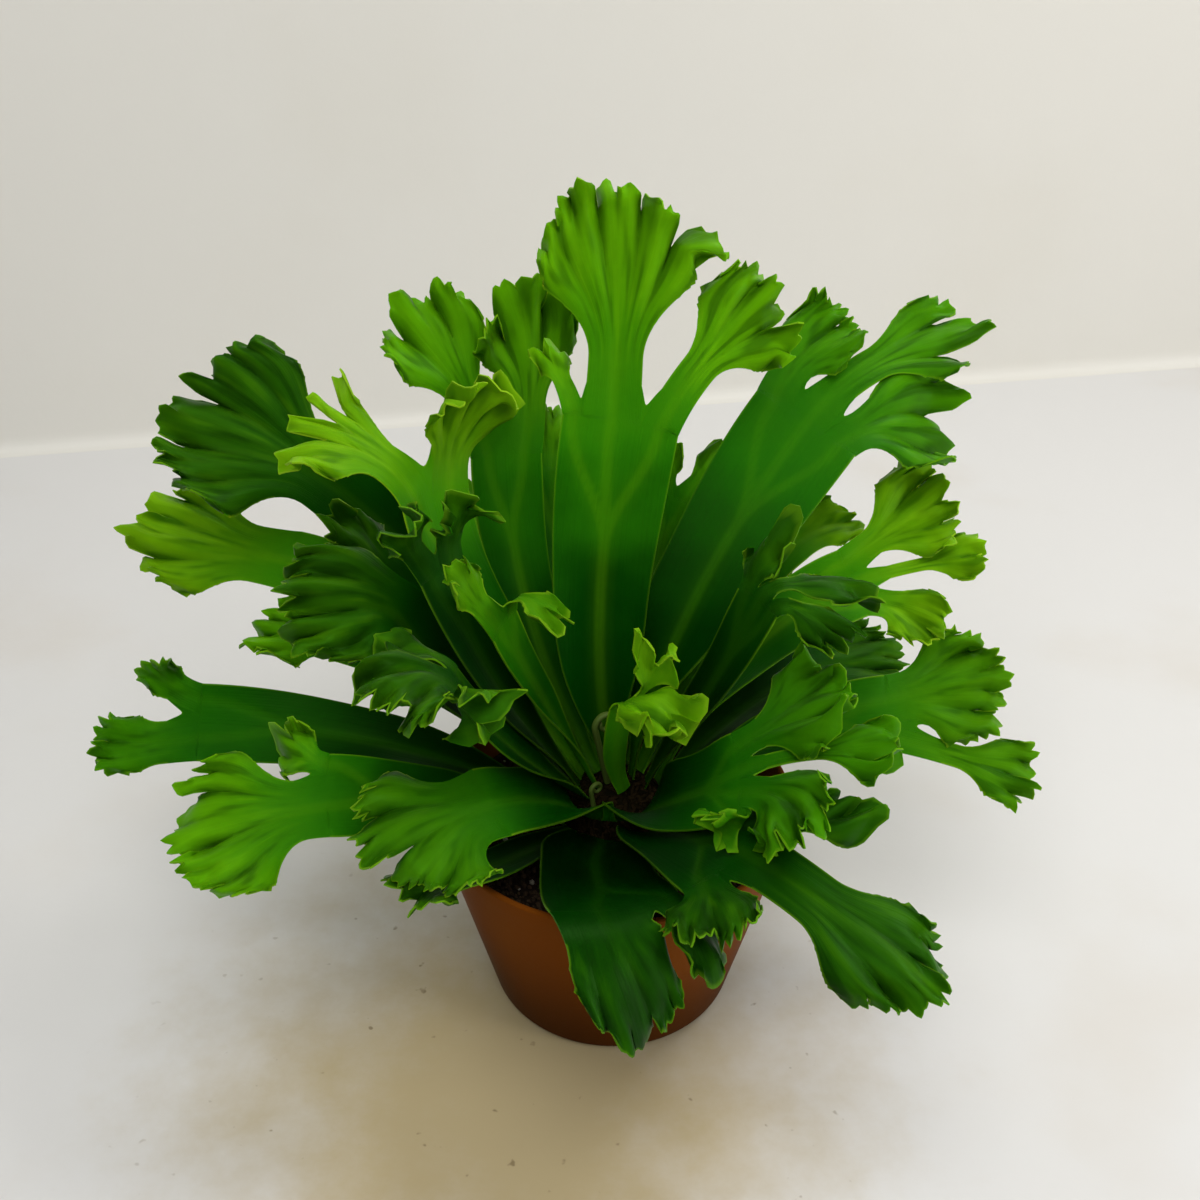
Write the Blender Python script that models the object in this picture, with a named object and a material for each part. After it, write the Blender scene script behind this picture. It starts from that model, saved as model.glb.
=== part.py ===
"""Potted bird's nest fern of the crested kind: its fronds fork and end in ruffled, toothed fans.

The origin is the centre of the pot's base, on the surface it stands on, with +Z up. The plant's
front is at -Y and its right is at +X. Sizes are in millimetres, and MM turns them into metres.
"""
from dataclasses import dataclass

import bmesh
import bpy
import numpy as np

MM = 0.001

# Pot
POT_RIM_RADIUS = 54.0
POT_BASE_RADIUS = 37.5
POT_HEIGHT = 70.0
POT_WALL = 1.8
POT_FLOOR = 2.0
POT_EDGE_RADIUS = 4.0
POT_SIDES = 40
DRAIN_HOLES = 6
DRAIN_RADIUS = 4.0
DRAIN_CIRCLE = 24.0

# Soil, filling the pot to a little under its rim
SOIL_TOP = 60.0
SOIL_LUMP = 1.1
SOIL_SIDES = 36
CLEARANCE = 0.3

# Crown: the rootstock, which stands in a round pocket of the soil and has a domed top
CROWN_RADIUS = 19.0
CROWN_DOME = 15.0
CROWN_DEPTH = 6.0
CROWN_SIDES = 24

# Rings on the crown's dome where the fronds grow, steepest fronds innermost
RINGS = {1: 5.6, 2: 9.5, 3: 13.5, 4: 17.0}

# Fronds
BLADE = 0.8
PETIOLE_WIDTH = 4.6
PETIOLE_CHANNEL = 0.5
ROOT_GAP = 0.9
STRAP_CHANNEL = 0.10
STRAP_ROWS = 7
FAN_ROWS = 4
PATH_STEPS = 40
FAN_OPENING = 82.0
TOOTH = 2.5
WIDEST_FACE = 5.5
LOBE_WIDTH = 10.0


@dataclass
class Branch:
    """A branch of a frond: its share of the strap in columns, where its fan's middle ends, the fan's
    width, the cuts between its lobes as (place across, depth) shares, and how far the curve to the
    tip first follows the strap."""
    columns: int
    tip: tuple
    width: float
    cuts: tuple = None
    bend: float = 0.5


@dataclass
class Frond:
    """A frond: its root as (ring, azimuth), the azimuth that it leans to, points on its midline half
    way up and at the fork, the strap's width at the fork, its branches from left to right as seen
    along the heading, how far the strap rolls to its right, the height of its ruffles, and the share
    of the strap by which it has widened."""
    name: str
    root: tuple
    heading: float
    middle: tuple
    fork: tuple
    width: float
    branches: list
    roll: float = 0.0
    ruffle: float = 2.5
    neck: float = 0.55
    seed: int = 1
    tone: str = "leaf_mid"


TALL_FRONDS = [
    Frond("frond_01", (1, 80), 92, (-4, 12, 121), (2, 34, 176), 33,
          [Branch(1, (-19, 48, 192), 9),
           Branch(3, (0, 58, 237), 42, cuts=((0.2, 0.06), (0.42, 0.1), (0.62, 0.12), (0.8, 0.26))),
           Branch(2, (48, 56, 206), 28, cuts=((0.35, 0.1), (0.66, 0.3)))],
          ruffle=2.0, seed=3),
    Frond("frond_02", (1, 144), 120, (-25, 31, 113), (-32, 50, 158), 23,
          [Branch(2, (-62, 64, 200), 30),
           Branch(2, (-29, 68, 203), 30, cuts=((0.32, 0.3), (0.7, 0.15)))],
          seed=5),
    Frond("frond_03", (1, 16), 52, (23, 20, 124), (57, 54, 166), 35,
          [Branch(2, (73, 80, 187), 24),
           Branch(2, (110, 84, 182), 28),
           Branch(2, (104, 66, 155), 34)],
          roll=-25, seed=71),
    Frond("frond_04", (2, 156), 150, (-36, 11, 119), (-51, 24, 157), 28,
          [Branch(3, (-92, 22, 179), 24, cuts=((0.5, 0.1), (0.65, 0.3), (0.78, 0.3), (0.9, 0.3))),
           Branch(3, (-34, 32, 190), 26, cuts=((0.25, 0.22), (0.5, 0.1), (0.75, 0.12)))],
          ruffle=2.0, seed=7, tone="leaf_light"),
]

LEFT_FRONDS = [
    Frond("frond_05", (3, 128), 150, (-47, 40, 111), (-81, 50, 145), 22,
          [Branch(4, (-133, 58, 169), 52, cuts=((0.2, 0.1), (0.38, 0.15), (0.6, 0.25), (0.8, 0.1)))],
          roll=25, ruffle=4.0, seed=11, tone="leaf_dark"),
    Frond("frond_06", (4, 145), 160, (-55, 38, 103), (-99, 50, 121), 20,
          [Branch(4, (-146, 56, 129), 32, cuts=((0.3, 0.1), (0.6, 0.2), (0.8, 0.1)))],
          roll=35, ruffle=3.0, seed=13, tone="leaf_light"),
    Frond("frond_07", (3, 154), 165, (-43, 19, 99), (-65, 24, 131), 14,
          [Branch(3, (-83, 26, 146), 22, cuts=((0.35, 0.2), (0.7, 0.15)))],
          roll=20, ruffle=3.0, seed=113, tone="leaf_dark"),
    Frond("frond_08", (3, 181), 172, (-43, 5, 102), (-60, 6, 128), 22,
          [Branch(4, (-92, 0, 133), 33, cuts=((0.2, 0.1), (0.45, 0.2), (0.7, 0.15)), bend=0.35)],
          roll=25, ruffle=3.5, seed=17, tone="leaf_dark"),
    Frond("frond_09", (4, 170), 172, (-53, 22, 92), (-83, 28, 107), 15,
          [Branch(3, (-107, 30, 107), 22, cuts=((0.6, 0.3),))],
          roll=30, seed=19),
    Frond("frond_10", (4, 190), 180, (-64, 2, 86), (-122, 6, 92), 23,
          [Branch(3, (-152, 0, 88), 16),
           Branch(2, (-137, 14, 108), 10)],
          roll=45, seed=23),
    Frond("frond_11", (4, 211), 198, (-47, -18, 82), (-79, -26, 91), 24,
          [Branch(3, (-119, -36, 80), 40, cuts=((0.2, 0.1), (0.45, 0.28), (0.75, 0.15))),
           Branch(1, (-94, -10, 96), 14)],
          roll=35, seed=29),
    Frond("frond_12", (2, 190), 158, (-31, -4, 110), (-47, 1, 147), 16,
          [Branch(1, (-59, -4, 169), 14),
           Branch(1, (-43, 8, 168), 14)],
          roll=20, seed=97, tone="leaf_dark"),
    Frond("frond_13", (2, 223), 200, (-26, -16, 97), (-42, -21, 123), 21,
          [Branch(1, (-31, -42, 125), 16),
           Branch(2, (-62, -42, 129), 26),
           Branch(1, (-65, -14, 128), 15)],
          roll=10, ruffle=3.5, seed=89, tone="leaf_dark"),
    Frond("frond_14", (1, 212), 165, (-21, -4, 110), (-30, -8, 136), 12,
          [Branch(2, (-45, -12, 158), 14),
           Branch(1, (-14, -18, 147), 10)],
          roll=20, seed=83, tone="leaf_light"),
]

FRONT_FRONDS = [
    Frond("frond_15", (3, 243), 215, (-20, -21, 85), (-34, -31, 92), 23,
          [Branch(4, (-60, -55, 88), 42, cuts=((0.25, 0.12), (0.5, 0.32), (0.75, 0.12)))],
          roll=20, neck=0.3, seed=31, tone="leaf_light"),
    Frond("frond_16", (4, 226), 228, (-26, -29, 72), (-43, -44, 78), 14,
          [Branch(2, (-55, -58, 80), 18, cuts=((0.5, 0.2),))],
          ruffle=1.5, seed=37, tone="leaf_dark"),
    Frond("frond_17", (4, 262), 268, (-5, -37, 73), (0, -58, 80), 36,
          [Branch(1, (23, -69, 68), 14),
           Branch(3, (8, -77, 54), 26, cuts=((0.45, 0.1), (0.8, 0.1)))],
          ruffle=1.5, neck=0.4, seed=41, tone="leaf_dark"),
    Frond("frond_18", (4, 298), 305, (18, -30, 81), (31, -47, 88), 34,
          [Branch(1, (66, -34, 91), 15),
           Branch(3, (76, -86, 77), 30),
           Branch(2, (25, -78, 83), 24, bend=0.3)],
          roll=-15, neck=0.4, seed=47, tone="leaf_dark"),
    Frond("frond_19", (3, 288), 335, (18, -21, 85), (34, -26, 97), 28,
          [Branch(2, (67, -14, 117), 34),
           Branch(1, (78, -28, 107), 19),
           Branch(2, (51, -56, 98), 25),
           Branch(1, (24, -50, 95), 10)],
          roll=-30, ruffle=3.5, neck=0.35, seed=43),
    Frond("frond_20", (1, 305), 300, (1, -9, 94), (3, -14, 113), 9,
          [Branch(1, (15, -20, 128), 12),
           Branch(2, (17, -32, 115), 18)],
          seed=79, tone="leaf_light"),
]

RIGHT_FRONDS = [
    Frond("frond_21", (4, -5), 5, (48, 6, 85), (83, 16, 88), 23,
          [Branch(2, (119, 26, 93), 34),
           Branch(1, (128, 8, 68), 20)],
          roll=-50, seed=53, tone="leaf_light"),
    Frond("frond_22", (4, 25), 35, (41, 28, 80), (67, 52, 79), 17,
          [Branch(3, (97, 66, 72), 30, cuts=((0.3, 0.1), (0.6, 0.3)))],
          roll=-35, seed=59, tone="leaf_dark"),
    Frond("frond_23", (3, 15), 25, (39, 16, 109), (72, 34, 123), 22,
          [Branch(2, (104, 54, 145), 28),
           Branch(1, (114, 44, 127), 16),
           Branch(2, (97, 18, 114), 18)],
          roll=-40, seed=61, tone="leaf_light"),
    Frond("frond_24", (2, 38), 50, (33, 31, 110), (55, 50, 127), 14,
          [Branch(2, (78, 64, 129), 16)],
          roll=-20, seed=67, tone="leaf_light"),
    Frond("frond_25", (2, 0), 12, (25, -3, 106), (40, 0, 138), 15,
          [Branch(1, (47, 12, 145), 12),
           Branch(1, (65, 6, 133), 14),
           Branch(1, (59, -6, 127), 11)],
          roll=-30, ruffle=3.5, seed=101, tone="leaf_dark"),
]

BACK_FRONDS = [
    Frond("frond_26", (2, 76), 78, (12, 46, 110), (19, 64, 135), 16,
          [Branch(1, (18, 76, 150), 12),
           Branch(1, (39, 76, 143), 14)],
          seed=73),
    Frond("frond_27", (2, 112), 105, (-14, 46, 112), (-22, 74, 140), 14,
          [Branch(1, (-42, 90, 148), 14),
           Branch(1, (-16, 92, 152), 14)],
          seed=127),
    Frond("frond_28", (4, 62), 68, (30, 52, 82), (42, 88, 90), 18,
          [Branch(2, (32, 120, 84), 22),
           Branch(2, (62, 112, 86), 22)],
          seed=103),
    Frond("frond_29", (4, 95), 102, (-12, 52, 84), (-18, 86, 92), 18,
          [Branch(2, (-42, 116, 84), 24),
           Branch(2, (-8, 122, 88), 24)],
          seed=107),
    Frond("frond_30", (4, 122), 135, (-42, 44, 86), (-66, 70, 94), 18,
          [Branch(2, (-100, 88, 84), 24),
           Branch(2, (-74, 106, 90), 22)],
          seed=109),
    Frond("frond_31", (3, 104), 128, (-24, 47, 94), (-46, 76, 112), 15,
          [Branch(1, (-80, 88, 124), 16),
           Branch(1, (-58, 102, 124), 16)],
          seed=131),
    Frond("frond_32", (3, 78), 85, (6, 50, 96), (8, 82, 110), 15,
          [Branch(1, (-8, 108, 114), 14),
           Branch(1, (14, 106, 110), 14)],
          seed=137),
]

FRONDS = TALL_FRONDS + LEFT_FRONDS + FRONT_FRONDS + RIGHT_FRONDS + BACK_FRONDS

# Young fronds that are still coiled: root (radius, azimuth), azimuth and slant of the stalk, its
# length, the coil's radius and the stalk's radius
CROZIERS = {
    "crozier_1": ((2.1, 225), 215, 12, 22.0, 3.6, 1.1),
    "crozier_2": ((11.0, 240), 215, 8, 6.5, 2.0, 0.8),
    "crozier_3": ((2.2, 34), 20, 10, 12.0, 2.8, 0.9),
}
COIL_TURNS = 1.15
STALK_RINGS = 6
COIL_RINGS = 18
TUBE_SIDES = 6

# Colour, roughness and metallic value of each finish
FINISHES = {
    "leaf_light": ((0.10, 0.32, 0.01, 1.0), 0.35, 0.0),
    "leaf_mid": ((0.03, 0.17, 0.01, 1.0), 0.35, 0.0),
    "leaf_dark": ((0.015, 0.09, 0.01, 1.0), 0.35, 0.0),
    "crozier": ((0.22, 0.33, 0.05, 1.0), 0.5, 0.0),
    "crown": ((0.06, 0.035, 0.02, 1.0), 0.9, 0.0),
    "soil": ((0.03, 0.02, 0.015, 1.0), 0.95, 0.0),
    "pot": ((0.16, 0.06, 0.03, 1.0), 0.45, 0.0),
}


def smooth(t):
    """Rises from 0 to 1 with level ends."""
    t = np.clip(t, 0.0, 1.0)
    return t * t * (3 - 2 * t)


def unit(vectors):
    return vectors / np.linalg.norm(vectors, axis=-1, keepdims=True)


def dome_height(radius):
    """Height of the crown's dome at a distance from the axis."""
    return SOIL_TOP + CROWN_DOME * np.sqrt(max(0.0, 1 - (radius / CROWN_RADIUS) ** 2))


def polar(radius, azimuth):
    angle = np.radians(azimuth)
    return np.array([radius * np.cos(angle), radius * np.sin(angle), 0.0])


def over_dome(radius, azimuth, gap):
    """A point at a gap from the dome's surface, measured square to it."""
    slope = CROWN_DOME / CROWN_RADIUS * radius / np.sqrt(CROWN_RADIUS ** 2 - radius ** 2)
    normal = unit(polar(slope, azimuth) + np.array([0, 0, 1.0]))
    return polar(radius, azimuth) + np.array([0, 0, dome_height(radius)]) + normal * gap


def root_point(frond):
    """Where the frond's midline starts."""
    ring, azimuth = frond.root
    return over_dome(RINGS[ring], azimuth, ROOT_GAP)


def strap_path(frond, s):
    """Midline points and the along, right and up vectors at shares s of the strap."""
    s = np.asarray(s, float)[:, None]
    first = np.radians(frond.root[1])
    facing = first + (np.radians(frond.heading) - first) * smooth(s / 0.5)
    right = np.concatenate([np.sin(facing), -np.cos(facing), 0 * facing], axis=1)
    root = root_point(frond)
    middle, fork = np.array(frond.middle, float), np.array(frond.fork, float)
    points = root * (2 * s - 1) * (s - 1) + middle * 4 * s * (1 - s) + fork * s * (2 * s - 1)
    along = unit(root * (4 * s - 3) + middle * (4 - 8 * s) + fork * (4 * s - 1))
    across = unit(right - along * (along * right).sum(1)[:, None])
    up = np.cross(across, along)
    roll = np.radians(frond.roll) * smooth(s)
    return points, along, across * np.cos(roll) + up * np.sin(roll), up * np.cos(roll) - across * np.sin(roll)


def strap_half_width(frond, s):
    widening = 0.75 * smooth(s / frond.neck) + 0.25 * smooth((s - 0.45) / 0.55)
    return (PETIOLE_WIDTH + (frond.width - PETIOLE_WIDTH) * widening) / 2


def strap_points(frond, s, x):
    """Points of the strap at share s along it and x across it, from -1 at the left to 1."""
    points, along, across, up = strap_path(frond, s)
    half = strap_half_width(frond, s)
    channel = PETIOLE_CHANNEL * smooth(s / 0.15) * (1 - smooth(s / 0.8)) + STRAP_CHANNEL
    lift = channel * half * np.abs(x) ** 1.5
    return points + across * (half * x)[:, None] + up * lift[:, None]


class BranchSurface:
    """The surface of one branch: a stalk that leaves the strap and flares into a ruffled fan."""

    def __init__(self, frond, branch, start, columns, random):
        self.frond, self.branch = frond, branch
        self.left, self.right = start / columns, (start + branch.columns) / columns
        self.middle = self.left + self.right - 1
        self.half_start = (self.right - self.left) * frond.width / 2
        self.make_path()
        ratio = branch.width / 2 / self.length
        self.opening = np.radians(FAN_OPENING) * min(1.0, ratio / 0.26)
        self.flare = 1 - min(0.85, 2.1 * ratio + 0.05)
        self.make_lobes(random)

    def make_path(self):
        """Midline from the strap's end to the tip, with the frame carried along it."""
        point, along, across, up = (v[0] for v in strap_path(self.frond, [1.0]))
        half, middle = self.frond.width / 2, self.middle
        base = point + across * half * middle + up * STRAP_CHANNEL * half * abs(middle) ** 1.5
        tip = np.array(self.branch.tip, float)
        lean = unit(along + across * middle * 0.45)
        knee = base + lean * np.linalg.norm(tip - base) * self.branch.bend
        t = np.linspace(0, 1, PATH_STEPS + 1)[:, None]
        self.path = base * (1 - t) ** 2 + knee * 2 * t * (1 - t) + tip * t ** 2
        self.along = unit((knee - base) * (1 - t) + (tip - knee) * t)
        self.length = np.linalg.norm(np.diff(self.path, axis=0), axis=1).sum()
        sides = [across]
        for direction in self.along:
            side = sides[-1]
            sides.append(unit(side - direction * (side @ direction)))
        self.across = np.array(sides[1:])
        self.up = np.cross(self.across, self.along)

    def make_lobes(self, random):
        """Cuts between the lobes, given or drawn, and the phase of the ruffles."""
        if self.branch.cuts is None:
            count = max(1, round(self.branch.width / LOBE_WIDTH))
            places = (np.arange(1, count) + random.uniform(-0.18, 0.18, count - 1)) / count
            depths = random.uniform(0.06, 0.24, count - 1)
        else:
            places = np.array([place for place, depth in self.branch.cuts])
            depths = np.array([depth for place, depth in self.branch.cuts])
        self.lobe_edges = np.concatenate([[0], places, [1]])
        self.lobe_depths = np.concatenate([[0.10], depths, [0.10]])
        self.waves = max(1.0, self.branch.width / 20.0)
        self.phase = random.uniform(0, 1)
        self.wave_side = random.choice([-1, 1])

    def cut_back(self, u):
        """How far the margin is cut back at share u across, as a share of the length."""
        depth = np.zeros_like(u)
        for k in range(len(self.lobe_edges) - 1):
            start, end = self.lobe_edges[k], self.lobe_edges[k + 1]
            inside = (u >= start) & (u <= end)
            v = (u[inside] - start) / (end - start) * 2 - 1
            edge_depth = np.where(v < 0, self.lobe_depths[k], self.lobe_depths[k + 1])
            depth[inside] = edge_depth * np.abs(v) ** 4
        return depth

    def along_path(self, table, t):
        place = np.clip(t, 0, 1) * PATH_STEPS
        step = np.minimum(place.astype(int), PATH_STEPS - 1)
        rest = (place - step)[:, None]
        return table[step] * (1 - rest) + table[step + 1] * rest

    def points(self, t, u, tooth=0.0):
        """Points at share t along the branch and u across it, from 0 at the left to 1."""
        t = t * (1 - self.cut_back(u) * t) + tooth * t
        v = 2 * u - 1
        path, along, across, up = (
            self.along_path(table, t) for table in (self.path, self.along, self.across, self.up))
        flare = smooth((t - self.flare) / (1 - self.flare))
        bow = self.opening * flare ** 0.9 * np.clip(t, 1, 1.3) + 1e-4
        fan_half = self.branch.width / 2 * self.opening / np.sin(self.opening)
        waist = 1 - 0.5 * t * (1 - np.minimum(t, 1)) ** 2
        half = self.half_start * waist + (fan_half - self.half_start) * flare
        x = half * np.sin(bow * v) / bow
        y = -half * (1 - np.cos(bow * v)) / bow
        wave = np.sin(np.pi * (self.waves * u * self.wave_side + 2 * self.phase))
        ripple = np.sin(np.pi * (3 * self.waves * u + self.phase))
        z = np.maximum(flare, 0.3 * t) * self.frond.ruffle * (wave + 0.25 * ripple)
        strap_x = self.middle + v * (self.right - self.left)
        channel = np.abs(strap_x) ** 1.5 - abs(self.middle) ** 1.5
        z = z + STRAP_CHANNEL * self.frond.width / 2 * channel * (1 - smooth(t / 0.5))
        return path + across * x[:, None] + along * y[:, None] + up * z[:, None]


def stitch(faces, low, high):
    """Triangles between a row of points and the next row, which has a whole multiple of its steps."""
    ratio = (len(high) - 1) // (len(low) - 1)
    for i in range(len(low) - 1):
        a, b = low[i], low[i + 1]
        row = high[i * ratio:(i + 1) * ratio + 1]
        if ratio == 1:
            faces += [(a, b, row[1]), (a, row[1], row[0])]
            continue
        half = (ratio + 1) // 2
        for j in range(ratio):
            faces.append((a if j < half else b, row[j + 1], row[j]))
        faces.append((a, b, row[half]))


def add_row(points, row):
    first = len(points)
    points.extend(row.tolist())
    return list(range(first, len(points)))


def add_branch(frond, branch, surface, low, points, faces, random):
    """Rows of one branch, from the strap's last row to the toothed margin."""
    steps = 2 * branch.columns
    if branch.width / steps > WIDEST_FACE:
        steps *= 2
    u = np.linspace(0, 1, steps + 1)
    for i in range(1, FAN_ROWS + 1):
        row = add_row(points, surface.points(np.full(len(u), i / (FAN_ROWS + 1)), u))
        stitch(faces, low, row)
        low = row
    u = np.linspace(0, 1, 2 * steps + 1)
    teeth = (np.arange(len(u)) % 2) * TOOTH / surface.length * random.uniform(0.5, 1.0, len(u))
    stitch(faces, low, add_row(points, surface.points(np.ones(len(u)), u, teeth)))


def frond_sheet(frond):
    """Points and triangles of the frond's blade, with no thickness."""
    random = np.random.default_rng(frond.seed)
    columns = sum(branch.columns for branch in frond.branches)
    points, faces = [], []
    x = np.linspace(-1, 1, columns + 1)
    low = None
    for s in np.linspace(0, 1, STRAP_ROWS + 1):
        row = add_row(points, strap_points(frond, np.full(len(x), s), x))
        if low:
            stitch(faces, low, row)
        low = row
    start = 0
    for branch in frond.branches:
        surface = BranchSurface(frond, branch, start, columns, random)
        add_branch(frond, branch, surface, low[start:start + branch.columns + 1], points, faces, random)
        start += branch.columns
    return points, faces


def make_material(name):
    colour, roughness, metallic = FINISHES[name]
    material = bpy.data.materials.new(name)
    material.use_nodes = True
    material.diffuse_color = colour
    shader = material.node_tree.nodes["Principled BSDF"]
    shader.inputs["Base Color"].default_value = colour
    shader.inputs["Roughness"].default_value = roughness
    shader.inputs["Metallic"].default_value = metallic
    return material


def make_object(name, points, faces, material, location=(0, 0, 0)):
    """An object from points and faces in millimetres."""
    mesh = bpy.data.meshes.new(name)
    mesh.from_pydata([tuple(c * MM for c in point) for point in points], [], faces)
    mesh.shade_smooth()
    mesh.set_sharp_from_angle(angle=np.radians(40))
    mesh.materials.append(material)
    made = bpy.data.objects.new(name, mesh)
    made.location = [c * MM for c in location]
    bpy.context.collection.objects.link(made)
    return made


def make_frond(frond, material):
    points, faces = frond_sheet(frond)
    made = make_object(frond.name, points, faces, material)
    thickness = made.modifiers.new("blade thickness", "SOLIDIFY")
    thickness.thickness = BLADE * MM
    thickness.offset = 0
    thickness.use_quality_normals = True
    return made


def turned(profile, sides, height=None):
    """Points and faces of a profile of (radius, z) pairs turned about Z, closed on the axis at both
    ends, whose first and last radii are 0. height adds to z by radius, z and angle."""
    height = height or (lambda radius, z, angle: 0.0)
    points, rings = [], []
    for radius, z in profile:
        if radius == 0:
            rings.append([len(points)] * sides)
            points.append((0.0, 0.0, z + height(radius, z, 0.0)))
            continue
        rings.append(list(range(len(points), len(points) + sides)))
        for i in range(sides):
            angle = 2 * np.pi * i / sides
            points.append((radius * np.cos(angle), radius * np.sin(angle), z + height(radius, z, angle)))
    faces = []
    for low, high in zip(rings, rings[1:]):
        for i in range(sides):
            j = (i + 1) % sides
            corners = [low[i], low[j], high[j], high[i]]
            faces.append([c for k, c in enumerate(corners) if c != corners[k - 1]])
    return points, faces


def pot_radius(z):
    """Radius of the pot's outer wall at a height."""
    return POT_BASE_RADIUS + (POT_RIM_RADIUS - POT_BASE_RADIUS) * z / POT_HEIGHT


def arc(centre, radius, start, end, steps):
    """Points on an arc, from one angle to another in degrees."""
    return [(centre[0] + radius * np.cos(np.radians(angle)), centre[1] + radius * np.sin(np.radians(angle)))
            for angle in np.linspace(start, end, steps)]


def make_pot(material):
    """A tapered pot with a soft lower edge, a rounded rim and drain holes."""
    slope = np.degrees(np.arctan2(POT_HEIGHT, POT_RIM_RADIUS - POT_BASE_RADIUS))
    inset = POT_EDGE_RADIUS * np.tan(np.radians(slope) / 2)
    rim_radius = POT_WALL / 2
    rim_centre = (POT_RIM_RADIUS - rim_radius, POT_HEIGHT - rim_radius)
    lower_edge = arc((POT_BASE_RADIUS - inset, POT_EDGE_RADIUS), POT_EDGE_RADIUS, -90, slope - 90, 5)
    rim = arc(rim_centre, rim_radius, slope - 90, slope + 90, 6)
    inner_base = pot_radius(POT_FLOOR) - POT_WALL - POT_EDGE_RADIUS / 2
    inner_edge = (pot_radius(POT_FLOOR + POT_EDGE_RADIUS / 2) - POT_WALL, POT_FLOOR + POT_EDGE_RADIUS / 2)
    profile = [(0, 0), *lower_edge, *rim, inner_edge, (inner_base, POT_FLOOR), (0, POT_FLOOR)]
    points, faces = turned(profile, POT_SIDES)
    pot = make_object("pot", points, faces, material)
    drain = pot.modifiers.new("drain holes", "BOOLEAN")
    drain.operation = "DIFFERENCE"
    drain.object = make_drain_cutter()
    return pot


def make_drain_cutter():
    """Upright cylinders through the pot's floor, as one cutter."""
    cutter = bmesh.new()
    for i in range(DRAIN_HOLES):
        made = bmesh.ops.create_cone(
            cutter, cap_ends=True, segments=12, radius1=DRAIN_RADIUS * MM, radius2=DRAIN_RADIUS * MM,
            depth=3 * POT_FLOOR * MM)
        place = polar(DRAIN_CIRCLE, 360 * i / DRAIN_HOLES) + np.array([0, 0, POT_FLOOR / 2])
        bmesh.ops.translate(cutter, verts=made["verts"], vec=place * MM)
    mesh = bpy.data.meshes.new("drain_cutter")
    cutter.to_mesh(mesh)
    cutter.free()
    made = bpy.data.objects.new("drain_cutter", mesh)
    made.hide_render = True
    made.display_type = "WIRE"
    bpy.context.collection.objects.link(made)
    return made


def soil_lumps(radius, z, angle):
    """Uneven soil: low mounds between the crown's pocket and the pot's wall."""
    if z < SOIL_TOP:
        return 0.0
    return SOIL_LUMP * (np.sin(5 * angle + radius / 4) + 0.6 * np.sin(9 * angle - radius / 3))


def make_soil(material):
    """Potting soil, clear of the pot, with a pocket for the crown."""
    bottom = POT_FLOOR + CLEARANCE
    pocket = CROWN_RADIUS + CLEARANCE
    wall_gap = POT_WALL + 3 * CLEARANCE
    low_edge = pot_radius(bottom) - wall_gap - POT_EDGE_RADIUS / 2
    side_start = bottom + POT_EDGE_RADIUS / 2
    profile = [(0, bottom), (low_edge, bottom), (pot_radius(side_start) - wall_gap, side_start),
               (pot_radius(SOIL_TOP) - wall_gap, SOIL_TOP - 1), (46, SOIL_TOP), (40, SOIL_TOP),
               (34, SOIL_TOP), (28, SOIL_TOP), (23, SOIL_TOP), (pocket, SOIL_TOP - 1),
               (pocket, SOIL_TOP - CROWN_DEPTH - CLEARANCE), (0, SOIL_TOP - CROWN_DEPTH - CLEARANCE)]
    points, faces = turned(profile, SOIL_SIDES, soil_lumps)
    return make_object("soil", points, faces, material)


def make_crown(material):
    """The rootstock, from its foot in the soil to its domed top."""
    dome = [(CROWN_RADIUS * np.cos(a), SOIL_TOP + CROWN_DOME * np.sin(a))
            for a in np.linspace(0, np.pi / 2, 7)[:-1]]
    foot = SOIL_TOP - CROWN_DEPTH
    profile = [(0, foot), (CROWN_RADIUS - 2, foot), *dome, (0, SOIL_TOP + CROWN_DOME)]
    points, faces = turned(profile, CROWN_SIDES)
    return make_object("crown", points, faces, material)


def crozier_path(azimuth, slant, length, coil):
    """Centre points (out, up) of a stalk and its coil, with the share of the whole at each."""
    slant = np.radians(slant)
    top = np.array([np.sin(slant), np.cos(slant)]) * length
    stalk = [top * k / STALK_RINGS for k in range(STALK_RINGS)]
    inward = np.array([-np.cos(slant), np.sin(slant)])
    upward = np.array([np.sin(slant), np.cos(slant)])
    centre = top + inward * coil
    coiled = []
    for share in np.linspace(0, 1, COIL_RINGS):
        angle = 2 * np.pi * COIL_TURNS * share
        radius = coil * (1 - 0.62 * share)
        coiled.append(centre - inward * radius * np.cos(angle) + upward * radius * np.sin(angle))
    return np.array(stalk + coiled)


def make_crozier(name, root, azimuth, slant, length, coil, stalk_radius, material):
    """A young frond that is still coiled at its tip: a tapering tube along a stalk and a spiral."""
    path = crozier_path(azimuth, slant, length, coil)
    out, side = polar(1.0, azimuth), polar(1.0, azimuth + 90)
    up = np.array([0, 0, 1.0])
    base = over_dome(*root, CLEARANCE + stalk_radius / 2)
    centres = base + path[:, :1] * out + path[:, 1:] * up
    along = unit(np.gradient(centres, axis=0))
    normals = np.cross(along, side)
    points = []
    for k, centre in enumerate(centres):
        radius = stalk_radius * (1 - 0.45 * k / (len(centres) - 1))
        for i in range(TUBE_SIDES):
            angle = 2 * np.pi * i / TUBE_SIDES
            points.append(centre + radius * (np.cos(angle) * side + np.sin(angle) * normals[k]))
    faces = [list(range(TUBE_SIDES))[::-1]]
    for k in range(len(centres) - 1):
        for i in range(TUBE_SIDES):
            j = (i + 1) % TUBE_SIDES
            low, high = k * TUBE_SIDES, (k + 1) * TUBE_SIDES
            faces.append([low + i, low + j, high + j, high + i])
    last = (len(centres) - 1) * TUBE_SIDES
    faces.append([last + i for i in range(TUBE_SIDES)])
    return make_object(name, points, faces, material)


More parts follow.
